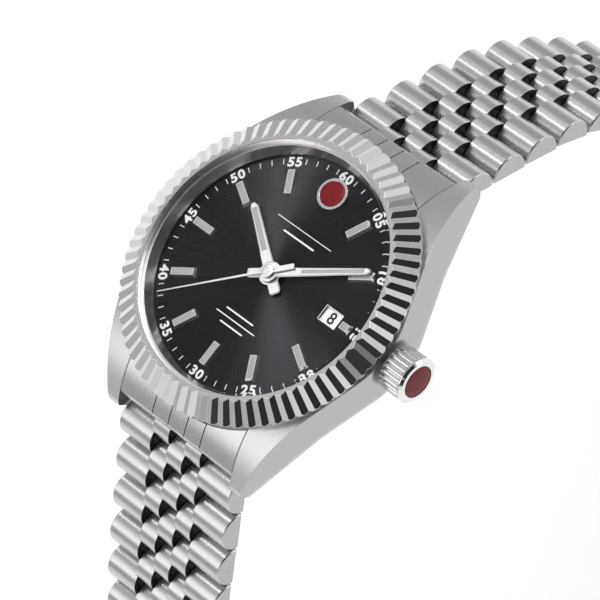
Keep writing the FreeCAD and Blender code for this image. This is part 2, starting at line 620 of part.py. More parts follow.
def motion_work():
    """Minute wheel and hour wheel under the dial."""
    distance, bearing = number("size.motion_distance"), number("size.motion_bearing")
    cannon, minute = gear_pair(TEETH["cannon"], TEETH["minute"], distance)
    hour, minute_pinion = gear_pair(TEETH["hour"], TEETH["minute_pinion"], distance)
    minute_phase = meshed(0, TEETH["cannon"], bearing, TEETH["minute"])
    wheel_low, pinion_low = number("size.minute_wheel_low"), number("size.minute_pinion_low")
    wheel = raised(toothed(TEETH["minute"], minute, minute_phase, pinion_low - wheel_low), wheel_low)
    pinion = raised(toothed(TEETH["minute_pinion"], minute_pinion, bearing + 180, 0.3), pinion_low)
    place("minute_wheel", wheel.fuse([pinion]).cut(disc(0.32, 6, 8)), polar(distance, bearing))
    hour_phase = meshed(bearing + 180, TEETH["minute_pinion"], bearing + 180, TEETH["hour"])
    low = number("size.hour_wheel_low")
    pipe = disc(number("size.hour_pipe_radius"), low, number("size.hour_pipe_top"))
    wheel = raised(toothed(TEETH["hour"], hour, hour_phase, number("size.wheel_thickness")), low)
    bore = disc(number("size.hour_pipe_bore"), 6, 9)
    place("hour_wheel", wheel.fuse([pipe]).cut(bore), FreeCAD.Vector(0, 0, 0))


def escapement():
    """Pallet fork, balance and hairspring."""
    escape = polar(number("size.escape_distance"), number("size.escape_bearing"))
    pallet = FreeCAD.Vector(number("size.pallet_x"), number("size.pallet_y"), 0)
    balance = FreeCAD.Vector(number("size.balance_x"), number("size.balance_y"), 0)
    arbor = number("size.arbor_radius")
    bottom, top = number("size.bridge_top") + 0.03, number("size.plate_low") - 0.03

    def bar(start, end, width, low, high):
        along = end - start
        shape = Part.makeBox(along.Length, width, high - low, FreeCAD.Vector(0, -width / 2, low))
        shape.rotate(FreeCAD.Vector(0, 0, 0), Z_AXIS, math.degrees(math.atan2(along.y, along.x)))
        shape.translate(FreeCAD.Vector(start.x, start.y, 0))
        return shape

    toward = math.degrees(math.atan2((pallet - escape).y, (pallet - escape).x))
    low = number("size.escape_low")
    high = low + 0.12
    fork = disc(arbor, bottom, top).fuse([disc(0.42, low - 0.02, high)])
    origin = FreeCAD.Vector(0, 0, 0)
    for lean in (-42, 42):
        stone = escape + polar(2.5, toward + lean) - pallet
        fork = fork.fuse([bar(origin, stone, 0.3, low, high),
                          Part.makeCylinder(0.26, 0.14, stone + Z_AXIS * (low - 0.01))])
    lever = balance - pallet
    lever = lever * ((lever.Length - 0.75) / lever.Length)
    fork = fork.fuse([bar(origin, lever, 0.28, low, high),
                      Part.makeCylinder(0.34, high - low, lever + Z_AXIS * low)])
    place("pallet_fork", fork, pallet)

    radius = number("size.balance_radius")
    low = number("size.balance_low")
    wheel = disc(radius, low, low + number("size.balance_thickness")).cut(disc(radius - 0.45, 4, 6))
    arm = Part.makeBox(2 * radius - 0.4, 0.4, 0.2, FreeCAD.Vector(-radius + 0.2, -0.2, low + 0.02))
    wheel = wheel.fuse([arm, disc(0.5, low - 0.02, low + 0.2), disc(arbor, bottom, top)])
    place("balance_wheel", wheel, balance)

    coil = []
    turns, inner, outer, steps = 5, 0.42, 2.2, 36
    width = 0.05
    for offset, order in ((-width, range(turns * steps + 1)), (width, range(turns * steps, -1, -1))):
        for i in order:
            share = i / (turns * steps)
            coil.append(polar(inner + (outer - inner) * share + offset, 360.0 * turns * share))
    height = number("size.spring_height")
    spring = prism(coil, height).fuse([disc(0.44, 0, height).cut(disc(arbor + 0.01, -1, 1))])
    place("hairspring", raised(spring, number("size.spring_low")), balance)


def plates():
    """Mainplate, train bridge with its pillars, balance cock, and the screws that hold them."""
    bottom, top = "size.bridge_low", "size.bridge_top"
    low = "size.plate_low"
    studs = []
    for bearing in (20, 130, 165, 320):
        turn = f"{bearing} * 1 deg"
        studs.append((f"size.pillar_orbit * cos({turn})", f"size.pillar_orbit * sin({turn})"))
    cock_foot = ("size.cock_x", "size.cock_y")
    motion = ("size.motion_distance * cos(size.motion_bearing * 1 deg)",
              "size.motion_distance * sin(size.motion_bearing * 1 deg)")
    plate = fuse(cylinder("size.movement_radius", low, "size.plate_top"),
                 cylinder("0.3", low, "7.0", *motion))
    keep(cut(plate, cylinder("0.55", "5", "6.53")), "mainplate")

    disc_plate = cylinder("size.movement_radius - 0.3", bottom, top)
    pillars = [cylinder("size.pillar_radius", top, f"{low} - 0.02", *stud) for stud in studs]
    post = cylinder("size.post_radius", "size.rotor_low - 0.1", bottom)
    opening = cylinder("size.balance_radius + 0.6", "2", "4", "size.balance_x", "size.balance_y")
    foot_room = cylinder("size.cock_half + 0.25", "2", "4", *cock_foot)
    rim_room = block("size.cock_x", "size.balance_x + 1.5", "-13", "size.balance_y", "2", "4")
    head = "size.screw_radius + 0.04"
    heads = [cylinder(head, f"{bottom} - 1", f"{bottom} + 0.3", *stud) for stud in studs]
    keep(cut(fuse(disc_plate, post, *pillars), opening, foot_room, rim_room, *heads,
             bar_room("size.cock_half + 0.25")), "train_bridge")

    cock = fuse(bar_room("size.cock_half"), cylinder("size.cock_half", bottom, top, *cock_foot),
                cylinder("size.cock_half", bottom, top, "size.balance_x", "size.balance_y"),
                cylinder("size.pillar_radius", top, f"{low} - 0.02", *cock_foot))
    keep(cut(cock, cylinder(head, f"{bottom} - 1", f"{bottom} + 0.3", *cock_foot)), "balance_cock")

    screws = []
    for stud in studs + [cock_foot]:
        slot = block(f"({stud[0]}) - 0.7", f"({stud[0]}) + 0.7", f"({stud[1]}) - 0.09",
                     f"({stud[1]}) + 0.09", f"{bottom} - 0.2", f"{bottom} + 0.1")
        screws.append(cut(cylinder("size.screw_radius", f"{bottom} + 0.01", f"{bottom} + 0.3", *stud), slot))
    keep(group(screws), "movement_screws")


def bar_room(half):
    """The straight part of the balance cock, from its foot to the balance, or the room for it."""
    start = FreeCAD.Vector(number("size.cock_x"), number("size.cock_y"), 0)
    end = FreeCAD.Vector(number("size.balance_x"), number("size.balance_y"), 0)
    along = end - start
    tool = doc.addObject("Part::Box", "bar")
    bind(tool, {"Width": f"2 * ({half})", "Height": "size.bridge_top - size.bridge_low"})
    tool.Length = along.Length
    rotation = FreeCAD.Rotation(Z_AXIS, math.degrees(math.atan2(along.y, along.x)))
    offset = rotation.multVec(FreeCAD.Vector(0, -number(half), 0))
    tool.Placement = FreeCAD.Placement(start + offset + Z_AXIS * number("size.bridge_low"), rotation)
    return tool


def date_and_rotor():
    keep(cut(cylinder("size.date_outer", "size.date_low", "size.date_low + 0.22"),
             cylinder("size.date_inner", "6", "8")), "date_disc")
    sector = 170
    web = cylinder("size.rotor_radius - 0.1", "size.rotor_low + 0.55", "size.rotor_low + 0.9")
    rim = cut(cylinder("size.rotor_radius", "size.rotor_low", "size.rotor_top"),
              cylinder("size.rotor_rim", "1", "3"))
    half = fuse(web, rim)
    room = cylinder("14", "0", "4")
    room.Angle = 360 - sector
    room.Placement.Rotation = FreeCAD.Rotation(Z_AXIS, sector / 2 + 90)
    hub = cylinder("2.4", "size.rotor_low + 0.1", "size.rotor_low + 0.95")
    vents = []
    for bearing in (55, 90, 125):
        turn = f"{bearing - 180} * 1 deg"
        vents.append(cylinder("1.5", "1", "3", f"6.4 * cos({turn})", f"6.4 * sin({turn})"))
    body = fuse(cut(half, room, *vents), hub)
    keep(cut(body, cylinder("size.post_radius + 0.05", "0", "4")), "rotor")


# ---------------------------------------------------------------- bracelet

def link_section(shift, bored):
    """Side view of one bracelet piece: a flat foot and a round back, with its two pin holes."""
    middle = f"{shift} + size.pitch / 4"
    half = "size.piece_length / 2"
    foot = "-size.pin_height"
    shoulder = "size.piece_foot - size.pin_height"
    crown = "(size.piece_height - size.piece_foot)"
    back = f"(({half}) ^ 2 + {crown} ^ 2) / (2 * {crown})"
    sketch = outline(free_sketch(ACROSS), [
        (f"{middle} - {half}", foot), (f"{middle} + {half}", foot),
        (f"{middle} + {half}", shoulder, back), (f"{middle} - {half}", shoulder)])
    if bored:
        for station in (shift, f"{shift} + size.pitch / 2"):
            circle(sketch, station, "0", "size.pin_radius + size.running_gap")
    return sketch


def half_width(index):
    """Half the bracelet's width at a pitch, as an expression."""
    return f"(1.5 * size.inner_width + size.outer_width - {index} * size.taper)"


def mirrored(obj):
    result = doc.addObject("Part::Mirroring", "mirrored")
    result.Source = obj
    result.Normal = X_AXIS
    return result


class Bracelet:
    """The pieces that the bracelet's nodes share, and the rows made of them."""

    def __init__(self):
        self.bored = link_section("0", True)
        self.plain = link_section("0", False)
        self.later = link_section("size.pitch / 2", True)
        inner = "size.inner_width / 2"
        self.centre = extrude(self.bored, X_AXIS, f"-({inner} - size.side_gap)", f"{inner} - size.side_gap")
        right = extrude(self.later, X_AXIS, f"{inner} + size.side_gap", f"3 * {inner} - size.side_gap")
        self.between = [right, mirrored(right)]

    def outer(self, index):
        """The two wide pieces of a row, closed at their outer ends with a bevelled edge."""
        start = "1.5 * size.inner_width + size.side_gap"
        wall = f"{half_width(index)} - size.end_bevel - size.end_wall"
        face = f"{half_width(index)} - size.end_bevel"
        tube = extrude(self.bored, X_AXIS, start, wall)
        slab = extrude(self.plain, X_AXIS, wall, face)
        cap = extrude(self.plain, X_AXIS, "0", "size.end_bevel", "-size.bevel_angle")
        bind(cap, {"Placement.Base.x": face})
        right = fuse(tube, slab, cap)
        return [right, mirrored(right)]

    def pin(self, index, station):
        reach = f"{half_width(index)} - size.end_bevel - size.end_wall - 0.1 - 2 * size.taper"
        return rod("size.pin_radius", f"-({reach})", reach, y=station)

    def row(self, index, station="0"):
        """One pitch: outer and centre pieces, the two in-between pieces and two pins."""
        pieces = self.outer(index) + [self.centre] + self.between
        pieces += [self.pin(index, "size.pitch / 2"), self.pin(index, "size.pitch")]
        result = group(pieces)
        bind(result, {"Placement.Base.y": station})
        return result

    def node(self, label, index, count, placement):
        rows = [self.row(index, f"{i} * size.pitch") for i in range(count)]
        keep(group(rows, placement), label)


def link_placement(side, slope, pin):
    """The place of a link: side is 1 toward 12 o'clock and -1 toward 6; pin is (y, z)."""
    at = FreeCAD.Vector(0, pin[0], pin[1])
    if side > 0:
        return FreeCAD.Placement(at, FreeCAD.Rotation(X_AXIS, -slope))
    return FreeCAD.Placement(at, FreeCAD.Rotation(X_AXIS, slope) * FreeCAD.Rotation(Z_AXIS, 180))


def bracelet():
    """Both halves of the bracelet. Returns the last pin of the half that carries the clasp."""
    parts = Bracelet()
    pitch = number("size.pitch")
    ends = []
    for side, name, slopes, singles in ((1, "link_12", UPPER_SLOPES, SINGLE_UPPER),
                                        (-1, "link_6", LOWER_SLOPES, SINGLE_LOWER)):
        y, z = side * number("size.first_pin_y"), number("size.first_pin_z")
        index = 0
        for i, slope in enumerate(slopes):
            count = 1 if i < singles else 2
            parts.node(f"{name}_{i + 1:02d}", index, count, link_placement(side, slope, (y, z)))
            y += side * count * pitch * math.cos(math.radians(slope))
            z -= count * pitch * math.sin(math.radians(slope))
            index += count
        ends.append((y, z))
        end_link(parts, side, "end_link_12" if side > 0 else "end_link_6")
    return ends[0]


def end_link(parts, side, label):
    """Solid end link: arched to the lugs, hollowed to the neck, with two fingers for the first hinge pin."""
    reach = "size.lug_gap / 2 - 0.1"
    slope = "size.end_slope * 1 deg"
    back = "size.piece_length / 2 - 3 * size.pitch / 4"
    end_y = f"size.first_pin_y + ({back}) * cos({slope})"
    end_z = f"size.first_pin_z - ({back}) * sin({slope})"
    foot_y = f"{end_y} - size.pin_height * sin({slope})"
    foot_z = f"{end_z} - size.pin_height * cos({slope})"
    lip_y = f"{end_y} + 0.45 * sin({slope})"
    lip_z = f"{end_z} + 0.45 * cos({slope})"
    brow_y = f"{end_y} + 0.35"
    arch = ("size.case_top - size.shoulder_radius + sqrt(size.shoulder_radius ^ 2"
            " - ({} - size.shoulder_y) ^ 2)")
    section = outline(free_sketch(ACROSS), [
        ("15.5", "2.2"), ("18.3", "0.9"), (foot_y, foot_z), (lip_y, lip_z, "2.6"),
        (brow_y, arch.format(f"({brow_y})"), "size.shoulder_radius"), ("15.5", arch.format("15.5"))])
    body = extrude(section, X_AXIS, f"-({reach})", reach)
    tools = []
    for wall in ("size.inner_width / 2", "1.5 * size.inner_width"):
        for sign in (1, -1):
            tools.append(block(f"{sign} * ({wall}) - 0.07", f"{sign} * ({wall}) + 0.07",
                               "15", "30", "size.spring_bar_z + 1.1", "9"))
    shaped = cut(body, *tools)
    at = link_placement(1, number("size.end_slope"),
                        (number("size.first_pin_y"), number("size.first_pin_z")))
    fingers = group([group(parts.between, FreeCAD.Placement(FreeCAD.Vector(0, -number("size.pitch"), 0),
                                                            FreeCAD.Rotation()))], at)
    solid = cut(fuse(shaped, fingers), cylinder("size.neck_radius + 0.04", "-5", "12"),
                rod("size.spring_bar_radius + 0.03", "-11", "11", "size.spring_bar_y", "size.spring_bar_z"))
    pin = group([parts.pin(0, "0")], at)
    turn = FreeCAD.Placement() if side > 0 else spin(180)
    keep(group([solid, pin], turn), label)


def spring_bars():
    reach = "size.lug_gap / 2 + 1.5"
    bars = [rod("size.spring_bar_radius", f"-({reach})", reach, y, "size.spring_bar_z")
            for y in ("size.spring_bar_y", "-size.spring_bar_y")]
    keep(group(bars), "spring_bars")


# ---------------------------------------------------------------- clasp

def clasp(pin_place):
    """Folding clasp on the last pin of the 12 o'clock half: a curved cover, two blades and two push buttons.

    It is built about the centre of its arc, with its middle straight below, and then hung from the pin.
    """
    y12, z12 = pin_place
    radius, chord = number("size.clasp_radius"), number("size.clasp_chord")
    slope = math.radians(UPPER_SLOPES[-1] + number("size.clasp_lead"))
    y6, z6 = y12 + chord * math.cos(slope), z12 - chord * math.sin(slope)
    half = math.asin(chord / 2 / radius)
    tilt = math.degrees(math.atan2(z12 - z6, y12 - y6))
    up = FreeCAD.Vector(0, -math.sin(math.radians(tilt)), math.cos(math.radians(tilt)))
    centre = FreeCAD.Vector(0, (y12 + y6) / 2, (z12 + z6) / 2) + up * radius * math.cos(half)
    seat = FreeCAD.Placement(centre, FreeCAD.Rotation(X_AXIS, tilt))

    def angle(end, inset):
        """The angle of a station an inset away from one end of the clasp: 1 is the 12 o'clock end."""
        return end * (half - inset / radius)

    def point(turn, rise):
        return (f"{(radius + rise) * math.sin(turn):.6f}", f"{-(radius + rise) * math.cos(turn):.6f}")

    def slab(low, high, start, stop, x_low, x_high):
        """A curved plate between two rises over the pin line and two angles."""
        section = outline(free_sketch(ACROSS), [
            point(start, high) + (f"{radius + high}",), point(stop, high),
            point(stop, low) + (f"-{radius + low}",), point(start, low)])
        return extrude(section, X_AXIS, x_low, x_high)

    def cross_rod(tool_radius, turn, rise, x_low, x_high):
        y, z = point(turn, rise)
        return rod(tool_radius, x_low, x_high, y, z)

    first, second = angle(1, 3.4), angle(-1, 6.0)
    first_rise, second_rise = 0.05, -0.4
    pin, loose = "size.clasp_pin", "size.clasp_pin + size.running_gap"
    skirt, blade = "size.skirt", "size.blade_half"
    knuckle, inset = "size.knuckle_radius", "size.knuckle_half + 0.1"

    rise, edge = number("size.cover_rise"), f"({skirt} + size.skirt_thick)"
    button = angle(-1, number("size.button_inset")), number("size.button_rise")
    plate = slab(rise - number("size.cover_thick"), rise, angle(-1, 2.2), angle(1, 2.5), f"-{edge}", edge)
    walls = [slab(-1.2, 1.0, angle(-1, 2.2), angle(1, 2.6), *span)
             for span in ((skirt, edge), (f"-{edge}", f"-({skirt})"))]
    cover = cut(fuse(plate, *walls), cross_rod("size.button_radius + size.running_gap", *button, "-10", "10"))
    hinge_pin = cross_rod(pin, first, first_rise, f"-({skirt})", skirt)
    keep(group([cover, hinge_pin], seat), "clasp_cover")

    outer = fuse(slab(-0.35, 0.45, angle(-1, 6.3), angle(1, 3.8), f"-({blade})", blade),
                 cross_rod("0.7", first, first_rise, f"-({blade})", blade),
                 cross_rod(knuckle, second, second_rise, "-size.knuckle_half", "size.knuckle_half"))
    relief = [slab(-1.5, 0.6, angle(-1, 4.5), angle(-1, 7.1), *span)
              for span in (("size.knuckle_half", "9"), ("-9", "-size.knuckle_half"))]
    outer = cut(outer, *relief, cross_rod(loose, first, first_rise, "-9", "9"),
                cross_rod(loose, second, second_rise, "-9", "9"))
    keep(group([outer], seat), "clasp_blade_outer")

    inner = fuse(slab(-1.35, -0.8, angle(-1, 6.0), angle(1, 2.3), f"-({blade})", blade),
                 *[cross_rod(knuckle, second, second_rise, *span)
                   for span in ((inset, blade), (f"-({blade})", f"-({inset})"))],
                 slab(-1.35, -0.3, angle(1, 2.4), angle(1, 0.2), "-1.3", "1.3"),
                 cross_rod("1.2", angle(1, 0), 0, "-1.3", "1.3"))
    inner = cut(inner, slab(-1.6, -0.2, angle(-1, 4.6), angle(-1, 7.0), f"-({inset})", inset),
                cross_rod("size.pin_radius + size.running_gap", angle(1, 0), 0, "-9", "9"))
    inner = fuse(inner, cross_rod(pin, second, second_rise, f"-({blade})", blade))
    keep(group([inner], seat), "clasp_blade_inner")

    for label, low, high in (("clasp_button_right", f"{skirt} + 0.15", f"{skirt} + 1.25"),
                             ("clasp_button_left", f"-({skirt} + 1.25)", f"-({skirt} + 0.15)")):
        keep(group([cross_rod("size.button_radius", *button, low, high)], seat), label)


# ---------------------------------------------------------------- build and export

def check_and_export():
    """Refuse any failed object, then write one file per sub-part."""
    doc.recompute()
    for obj in doc.Objects:
        if "Invalid" in obj.State or "Error" in obj.State:
            raise RuntimeError(f"{obj.Label} failed: {obj.State}")
    os.makedirs("parts", exist_ok=True)
    for obj in nodes:
        shape = obj.Shape
        if shape.isNull() or not shape.isValid() or not shape.Solids:
            raise RuntimeError(f"{obj.Label} has no valid solid")
    for obj in nodes:
        obj.Shape.exportStep(f"parts/{obj.Label}.step")
    print(f"{len(nodes)} sub-parts")


mid_case()
bezel()
case_turnings()
dial_group()
hands()
crown_group()
going_train()
motion_work()
escapement()
plates()
date_and_rotor()
clasp(bracelet())
spring_bars()
check_and_export()
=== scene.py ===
"""Looks of the wristwatch: steel, dial print, applied parts, studio and camera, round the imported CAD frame.

Lengths given through mm() are millimetres; the dial's normal is +Z, 12 o'clock is +Y and the crown is at +X.
"""
import json
import math

import bmesh
import bpy
from mathutils import Matrix, Vector

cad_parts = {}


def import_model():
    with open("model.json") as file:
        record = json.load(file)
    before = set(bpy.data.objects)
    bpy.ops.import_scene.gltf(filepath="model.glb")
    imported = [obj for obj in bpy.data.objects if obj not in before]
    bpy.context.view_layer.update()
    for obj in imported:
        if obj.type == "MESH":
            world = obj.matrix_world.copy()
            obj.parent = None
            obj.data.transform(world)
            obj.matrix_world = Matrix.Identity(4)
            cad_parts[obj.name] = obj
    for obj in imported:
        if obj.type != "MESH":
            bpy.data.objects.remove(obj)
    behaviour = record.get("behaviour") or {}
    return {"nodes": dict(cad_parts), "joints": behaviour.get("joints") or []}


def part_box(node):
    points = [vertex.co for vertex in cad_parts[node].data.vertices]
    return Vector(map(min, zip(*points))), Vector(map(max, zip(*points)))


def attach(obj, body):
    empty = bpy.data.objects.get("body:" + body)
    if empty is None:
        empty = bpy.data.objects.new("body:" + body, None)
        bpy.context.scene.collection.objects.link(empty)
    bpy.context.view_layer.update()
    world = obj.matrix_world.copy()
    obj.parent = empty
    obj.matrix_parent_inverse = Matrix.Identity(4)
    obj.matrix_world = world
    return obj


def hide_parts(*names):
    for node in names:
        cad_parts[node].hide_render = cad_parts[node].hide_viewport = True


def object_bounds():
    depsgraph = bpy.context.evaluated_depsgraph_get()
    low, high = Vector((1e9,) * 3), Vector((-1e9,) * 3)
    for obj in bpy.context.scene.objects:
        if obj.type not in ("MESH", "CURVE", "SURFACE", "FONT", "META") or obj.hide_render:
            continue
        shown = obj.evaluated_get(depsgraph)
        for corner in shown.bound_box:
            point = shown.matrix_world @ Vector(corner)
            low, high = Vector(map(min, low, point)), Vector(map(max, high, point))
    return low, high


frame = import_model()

cad_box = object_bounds()
NODES = frame["nodes"]
TURN = 2 * math.pi


def mm(value):
    return value * 0.001


# places read from the frame
dial_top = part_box("dial")[1].z
marker_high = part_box("hour_markers")[1]
emblem_low, emblem_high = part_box("dial_emblem")
crown_low, crown_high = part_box("crown")
disc_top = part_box("date_disc")[1].z
pivots = {joint["child"]: joint["pos_m"] for joint in frame["joints"] if joint["type"] == "hinge"}

# print on the dial and the date disc
PRINT_RISE = mm(0.02)
NUMERAL_HEIGHT = mm(1.16)
NUMERAL_WEIGHT = mm(0.06)
NUMERAL_WIDENING = 1.12
NUMERAL_RING = mm(14.58)
TICK_INNER = mm(14.3)
TICK_OUTER = mm(15.0)
TICK_HALF = mm(0.055)
DATE_RADIUS = mm(10.2)
DATE_HEIGHT = mm(1.5)
DATES = 31
SHOWN_DATE = 8

# applied markers: where they start and end from the dial's centre, and their frame round the insert
MARKER_INNER = mm(10.15)
SHORT_MARKER_INNER = mm(12.0)      # at 3 o'clock, outside the date window
MARKER_OUTER = marker_high.x
MARKER_FRAME = mm(0.44)
INSERT_HALF = mm(0.295)

# The hands' angles are clockwise from 12 o'clock. Their sizes are millimetres: half the width at the hub and
# at the tip, the tip's and the tail's distance from the centre, and where the solid base ends, the shoulder.
HANDS = {
    "hour": {"angle": 305.0, "half": 0.75, "tip": 10.0, "tail": 2.85, "tip_half": 0.56, "thick": 0.18,
             "bore": 0.86, "shoulder": 3.1},
    "minute": {"angle": 57.8, "half": 0.625, "tip": 13.3, "tail": 2.9, "tip_half": 0.44, "thick": 0.16,
               "bore": 0.6, "shoulder": 4.2}}
SECOND_ANGLE = 228.0


# ---------------------------------------------------------------- node helpers

class Nodes:
    """A short way to write a material's node tree."""

    def __init__(self, name):
        self.material = bpy.data.materials.new(name)
        self.material.use_nodes = True
        self.tree = self.material.node_tree
        self.tree.nodes.clear()
        self.output = self.tree.nodes.new("ShaderNodeOutputMaterial")

    def add(self, kind, inputs=(), **settings):
        """A node of a kind, its settings, and its inputs as (socket, value or output socket) pairs."""
        node = self.tree.nodes.new("ShaderNode" + kind)
        for key, value in settings.items():
            setattr(node, key, value)
        for socket, value in dict(inputs).items():
            if isinstance(value, bpy.types.NodeSocket):
                self.tree.links.new(value, node.inputs[socket])
            else:
                node.inputs[socket].default_value = value
        return node

    def position(self):
        return self.add("TexCoord").outputs["Object"]

    def stretched(self, vector, scale, rotation=(0, 0, 0)):
        return self.add("Mapping", {"Vector": vector, "Scale": scale, "Rotation": rotation}).outputs["Vector"]

    def noise(self, vector, scale=1.0, detail=2.0, roughness=0.5):
        node = self.add("TexNoise", {"Vector": vector, "Scale": scale, "Detail": detail,
                                     "Roughness": roughness})
        return node.outputs["Fac"]

    def remap(self, value, low, high, from_low=0.0, from_high=1.0):
        node = self.add("MapRange", {"Value": value, "From Min": from_low, "From Max": from_high,
                                     "To Min": low, "To Max": high})
        return node.outputs["Result"]

    def math(self, operation, first, second=0.0):
        return self.add("Math", {0: first, 1: second}, operation=operation).outputs["Value"]

    def shade(self, fac, dark, light):
        node = self.add("Mix", {"Factor": fac}, data_type="RGBA")
        node.inputs["A"].default_value = (*dark, 1)
        node.inputs["B"].default_value = (*light, 1)
        return node.outputs["Result"]

    def blend(self, fac, under, over):
        """A colour socket that gives way to a plain colour."""
        node = self.add("Mix", {"Factor": fac}, data_type="RGBA")
        self.tree.links.new(under, node.inputs["A"])
        node.inputs["B"].default_value = (*over, 1)
        return node.outputs["Result"]

    def bump(self, height, strength, distance, normal=None):
        inputs = {"Height": height, "Strength": strength, "Distance": distance}
        if normal is not None:
            inputs["Normal"] = normal
        return self.add("Bump", inputs).outputs["Normal"]

    def rounded(self, radius):
        return self.add("Bevel", {"Radius": radius}, samples=4).outputs["Normal"]

    def finish(self, shader):
        self.tree.links.new(shader.outputs[0], self.output.inputs["Surface"])
        return self.material


STEEL_TONE = (0.62, 0.615, 0.61)
# Painted shade between the bracelet's links, on the walls that face along X.
GAP_SHADE_TONE = (0.1, 0.095, 0.09)
SMUDGE_SCALE = 260.0
FINE_GRAIN = 3.1                   # how much finer the second layer of brushing is than the first
PLATE_TONE = (0.62, 0.61, 0.59)


def scaled(tone, factor):
    return tuple(min(1.0, channel * factor) for channel in tone)


def smudges(n, vector):
    """Slow unevenness of a handled surface."""
    return n.noise(vector, SMUDGE_SCALE, 3.0)


def brushed_steel(name, grain, tangent, tone=STEEL_TONE, roughness=0.3, edge=mm(0.07), strength=0.04,
                  anisotropy=0.7, gap_shade_reach=0.0, side_shade=0.76):
    """Satin steel with its grain along the axis whose scale is smallest, and softly broken edges.

    Faces that look along X are painted darker, by side_shade, as painted shade. Nearer to the middle than the
    given reach they are painted dark, as painted shade between the links.
    """
    n = Nodes(name)
    place = n.position()
    streaks = n.noise(n.stretched(place, grain), 1.0, 3.0, 0.65)
    fine = n.noise(n.stretched(place, [scale * FINE_GRAIN for scale in grain]), 1.0, 2.0)
    wear = smudges(n, place)
    mixed = n.math("ADD", n.math("MULTIPLY", streaks, 0.5), n.math("MULTIPLY", fine, 0.5))
    light = scaled(tone, 1.05)
    dark = scaled(tone, 0.93)
    rough = n.math("ADD", n.remap(mixed, roughness - 0.04, roughness + 0.04, 0.3, 0.7),
                   n.remap(wear, -0.02, 0.02))
    normal = n.bump(mixed, strength, mm(0.006), n.rounded(edge))
    direction = n.add("VectorTransform", {"Vector": tangent}, vector_type="VECTOR",
                      convert_from="OBJECT", convert_to="WORLD").outputs["Vector"]
    colour = n.shade(n.remap(mixed, 0, 1, 0.32, 0.68), dark, light)
    # Painted shade: faces that look along X are painted darker, towards side_shade.
    facing = n.add("SeparateXYZ", {"Vector": n.add("NewGeometry").outputs["True Normal"]}).outputs["X"]
    flat = n.remap(n.math("ABSOLUTE", facing), 0.0, 1.0, 0.75, 0.9)
    colour = n.blend(flat, colour, scaled(tone, side_shade))
    # Painted shade between the links: faces along X nearer the middle than the reach are painted dark.
    if gap_shade_reach:
        across = n.add("SeparateXYZ", {"Vector": place}).outputs["X"]
        inside = n.math("LESS_THAN", n.math("ABSOLUTE", across), gap_shade_reach)
        colour = n.blend(n.math("MULTIPLY", flat, inside), colour, GAP_SHADE_TONE)
    shader = n.add("BsdfPrincipled", {
        "Base Color": colour, "Metallic": 1.0,
        "Roughness": rough, "Normal": normal, "Anisotropic": anisotropy, "Tangent": direction})
    return n.finish(shader)


def polished_steel(name, tone=(0.84, 0.835, 0.83), roughness=0.06, edge=mm(0.05)):
    """Mirror steel with faint hairlines and softly broken edges."""
    n = Nodes(name)
    place = n.position()
    lines = n.noise(n.stretched(place, (900, 9000, 900), (0.3, 0.5, 0.2)), 1.0, 3.0)
    wear = smudges(n, place)
    rough = n.math("ADD", n.remap(lines, roughness, roughness + 0.05, 0.55, 0.75), n.remap(wear, 0.0, 0.03))
    normal = n.bump(lines, 0.03, mm(0.004), n.rounded(edge))
    shader = n.add("BsdfPrincipled", {
        "Base Color": n.shade(wear, scaled(tone, 0.96), tone), "Metallic": 1.0,
        "Roughness": rough, "Normal": normal})
    return n.finish(shader)


def plain(name, colour, roughness=0.4, coat=0.0, variation=0.12, gloss=0.5, glow=0.0):
    """Paint, print, rubber or enamel: one colour with a fine uneven surface; glow makes it give off painted
    light.
    """
    n = Nodes(name)
    place = n.position()
    speckle = n.noise(place, 12000.0, 3.0)
    wear = smudges(n, place)
    tint = n.shade(n.remap(wear, 0, 1, 0.3, 0.7), scaled(colour, 1 - variation), colour)
    shader = n.add("BsdfPrincipled", {
        "Base Color": tint, "Roughness": n.remap(speckle, roughness - 0.05, roughness + 0.05),
        "Normal": n.bump(speckle, 0.05, mm(0.002)), "Coat Weight": coat, "Coat Roughness": 0.04,
        "Specular IOR Level": gloss, "Emission Color": (*colour, 1), "Emission Strength": glow})
    return n.finish(shader)


def sunray(name, tone=(0.026, 0.0268, 0.029)):
    """Dark metal brushed outwards from the dial's centre."""
    n = Nodes(name)
    axes = n.add("SeparateXYZ", {"Vector": n.position()}).outputs
    turn = n.math("ARCTAN2", axes["Y"], axes["X"])
    ray = n.add("CombineXYZ", {"X": n.math("COSINE", turn), "Y": n.math("SINE", turn)}).outputs["Vector"]
    rays = n.noise(ray, 60.0, 4.0, 0.7)
    tangent = n.add("Tangent", direction_type="RADIAL", axis="Z").outputs["Tangent"]
    colour = n.shade(n.remap(rays, 0, 1, 0.35, 0.65), scaled(tone, 0.8), scaled(tone, 1.25))
    shader = n.add("BsdfPrincipled", {
        "Base Color": colour, "Metallic": 1.0, "Roughness": n.remap(rays, 0.3, 0.36, 0.3, 0.7),
        "Anisotropic": 0.9, "Tangent": tangent})
    return n.finish(shader)


TURNED_RINGS = 16000.0


def turned_steel(name, tone, roughness):
    """Lathe-turned finish with rings round Z."""
    n = Nodes(name)
    place = n.position()
    axes = n.add("SeparateXYZ", {"Vector": place}).outputs
    radius = n.math("SQRT", n.math("ADD", n.math("POWER", axes["X"], 2.0), n.math("POWER", axes["Y"], 2.0)))
    rings = n.add("CombineXYZ", {"X": n.math("MULTIPLY", radius, TURNED_RINGS),
                                 "Y": n.math("MULTIPLY", axes["Z"], TURNED_RINGS)}).outputs["Vector"]
    lines = n.noise(rings, 1.0, 3.0, 0.6)
    wear = n.remap(smudges(n, place), -0.02, 0.02)
    shader = n.add("BsdfPrincipled", {
        "Base Color": n.shade(lines, scaled(tone, 0.9), tone), "Metallic": 1.0,
        "Roughness": n.math("ADD", n.remap(lines, roughness - 0.05, roughness + 0.05), wear),
        "Normal": n.bump(lines, 0.15, mm(0.006), n.rounded(mm(0.05)))})
    return n.finish(shader)


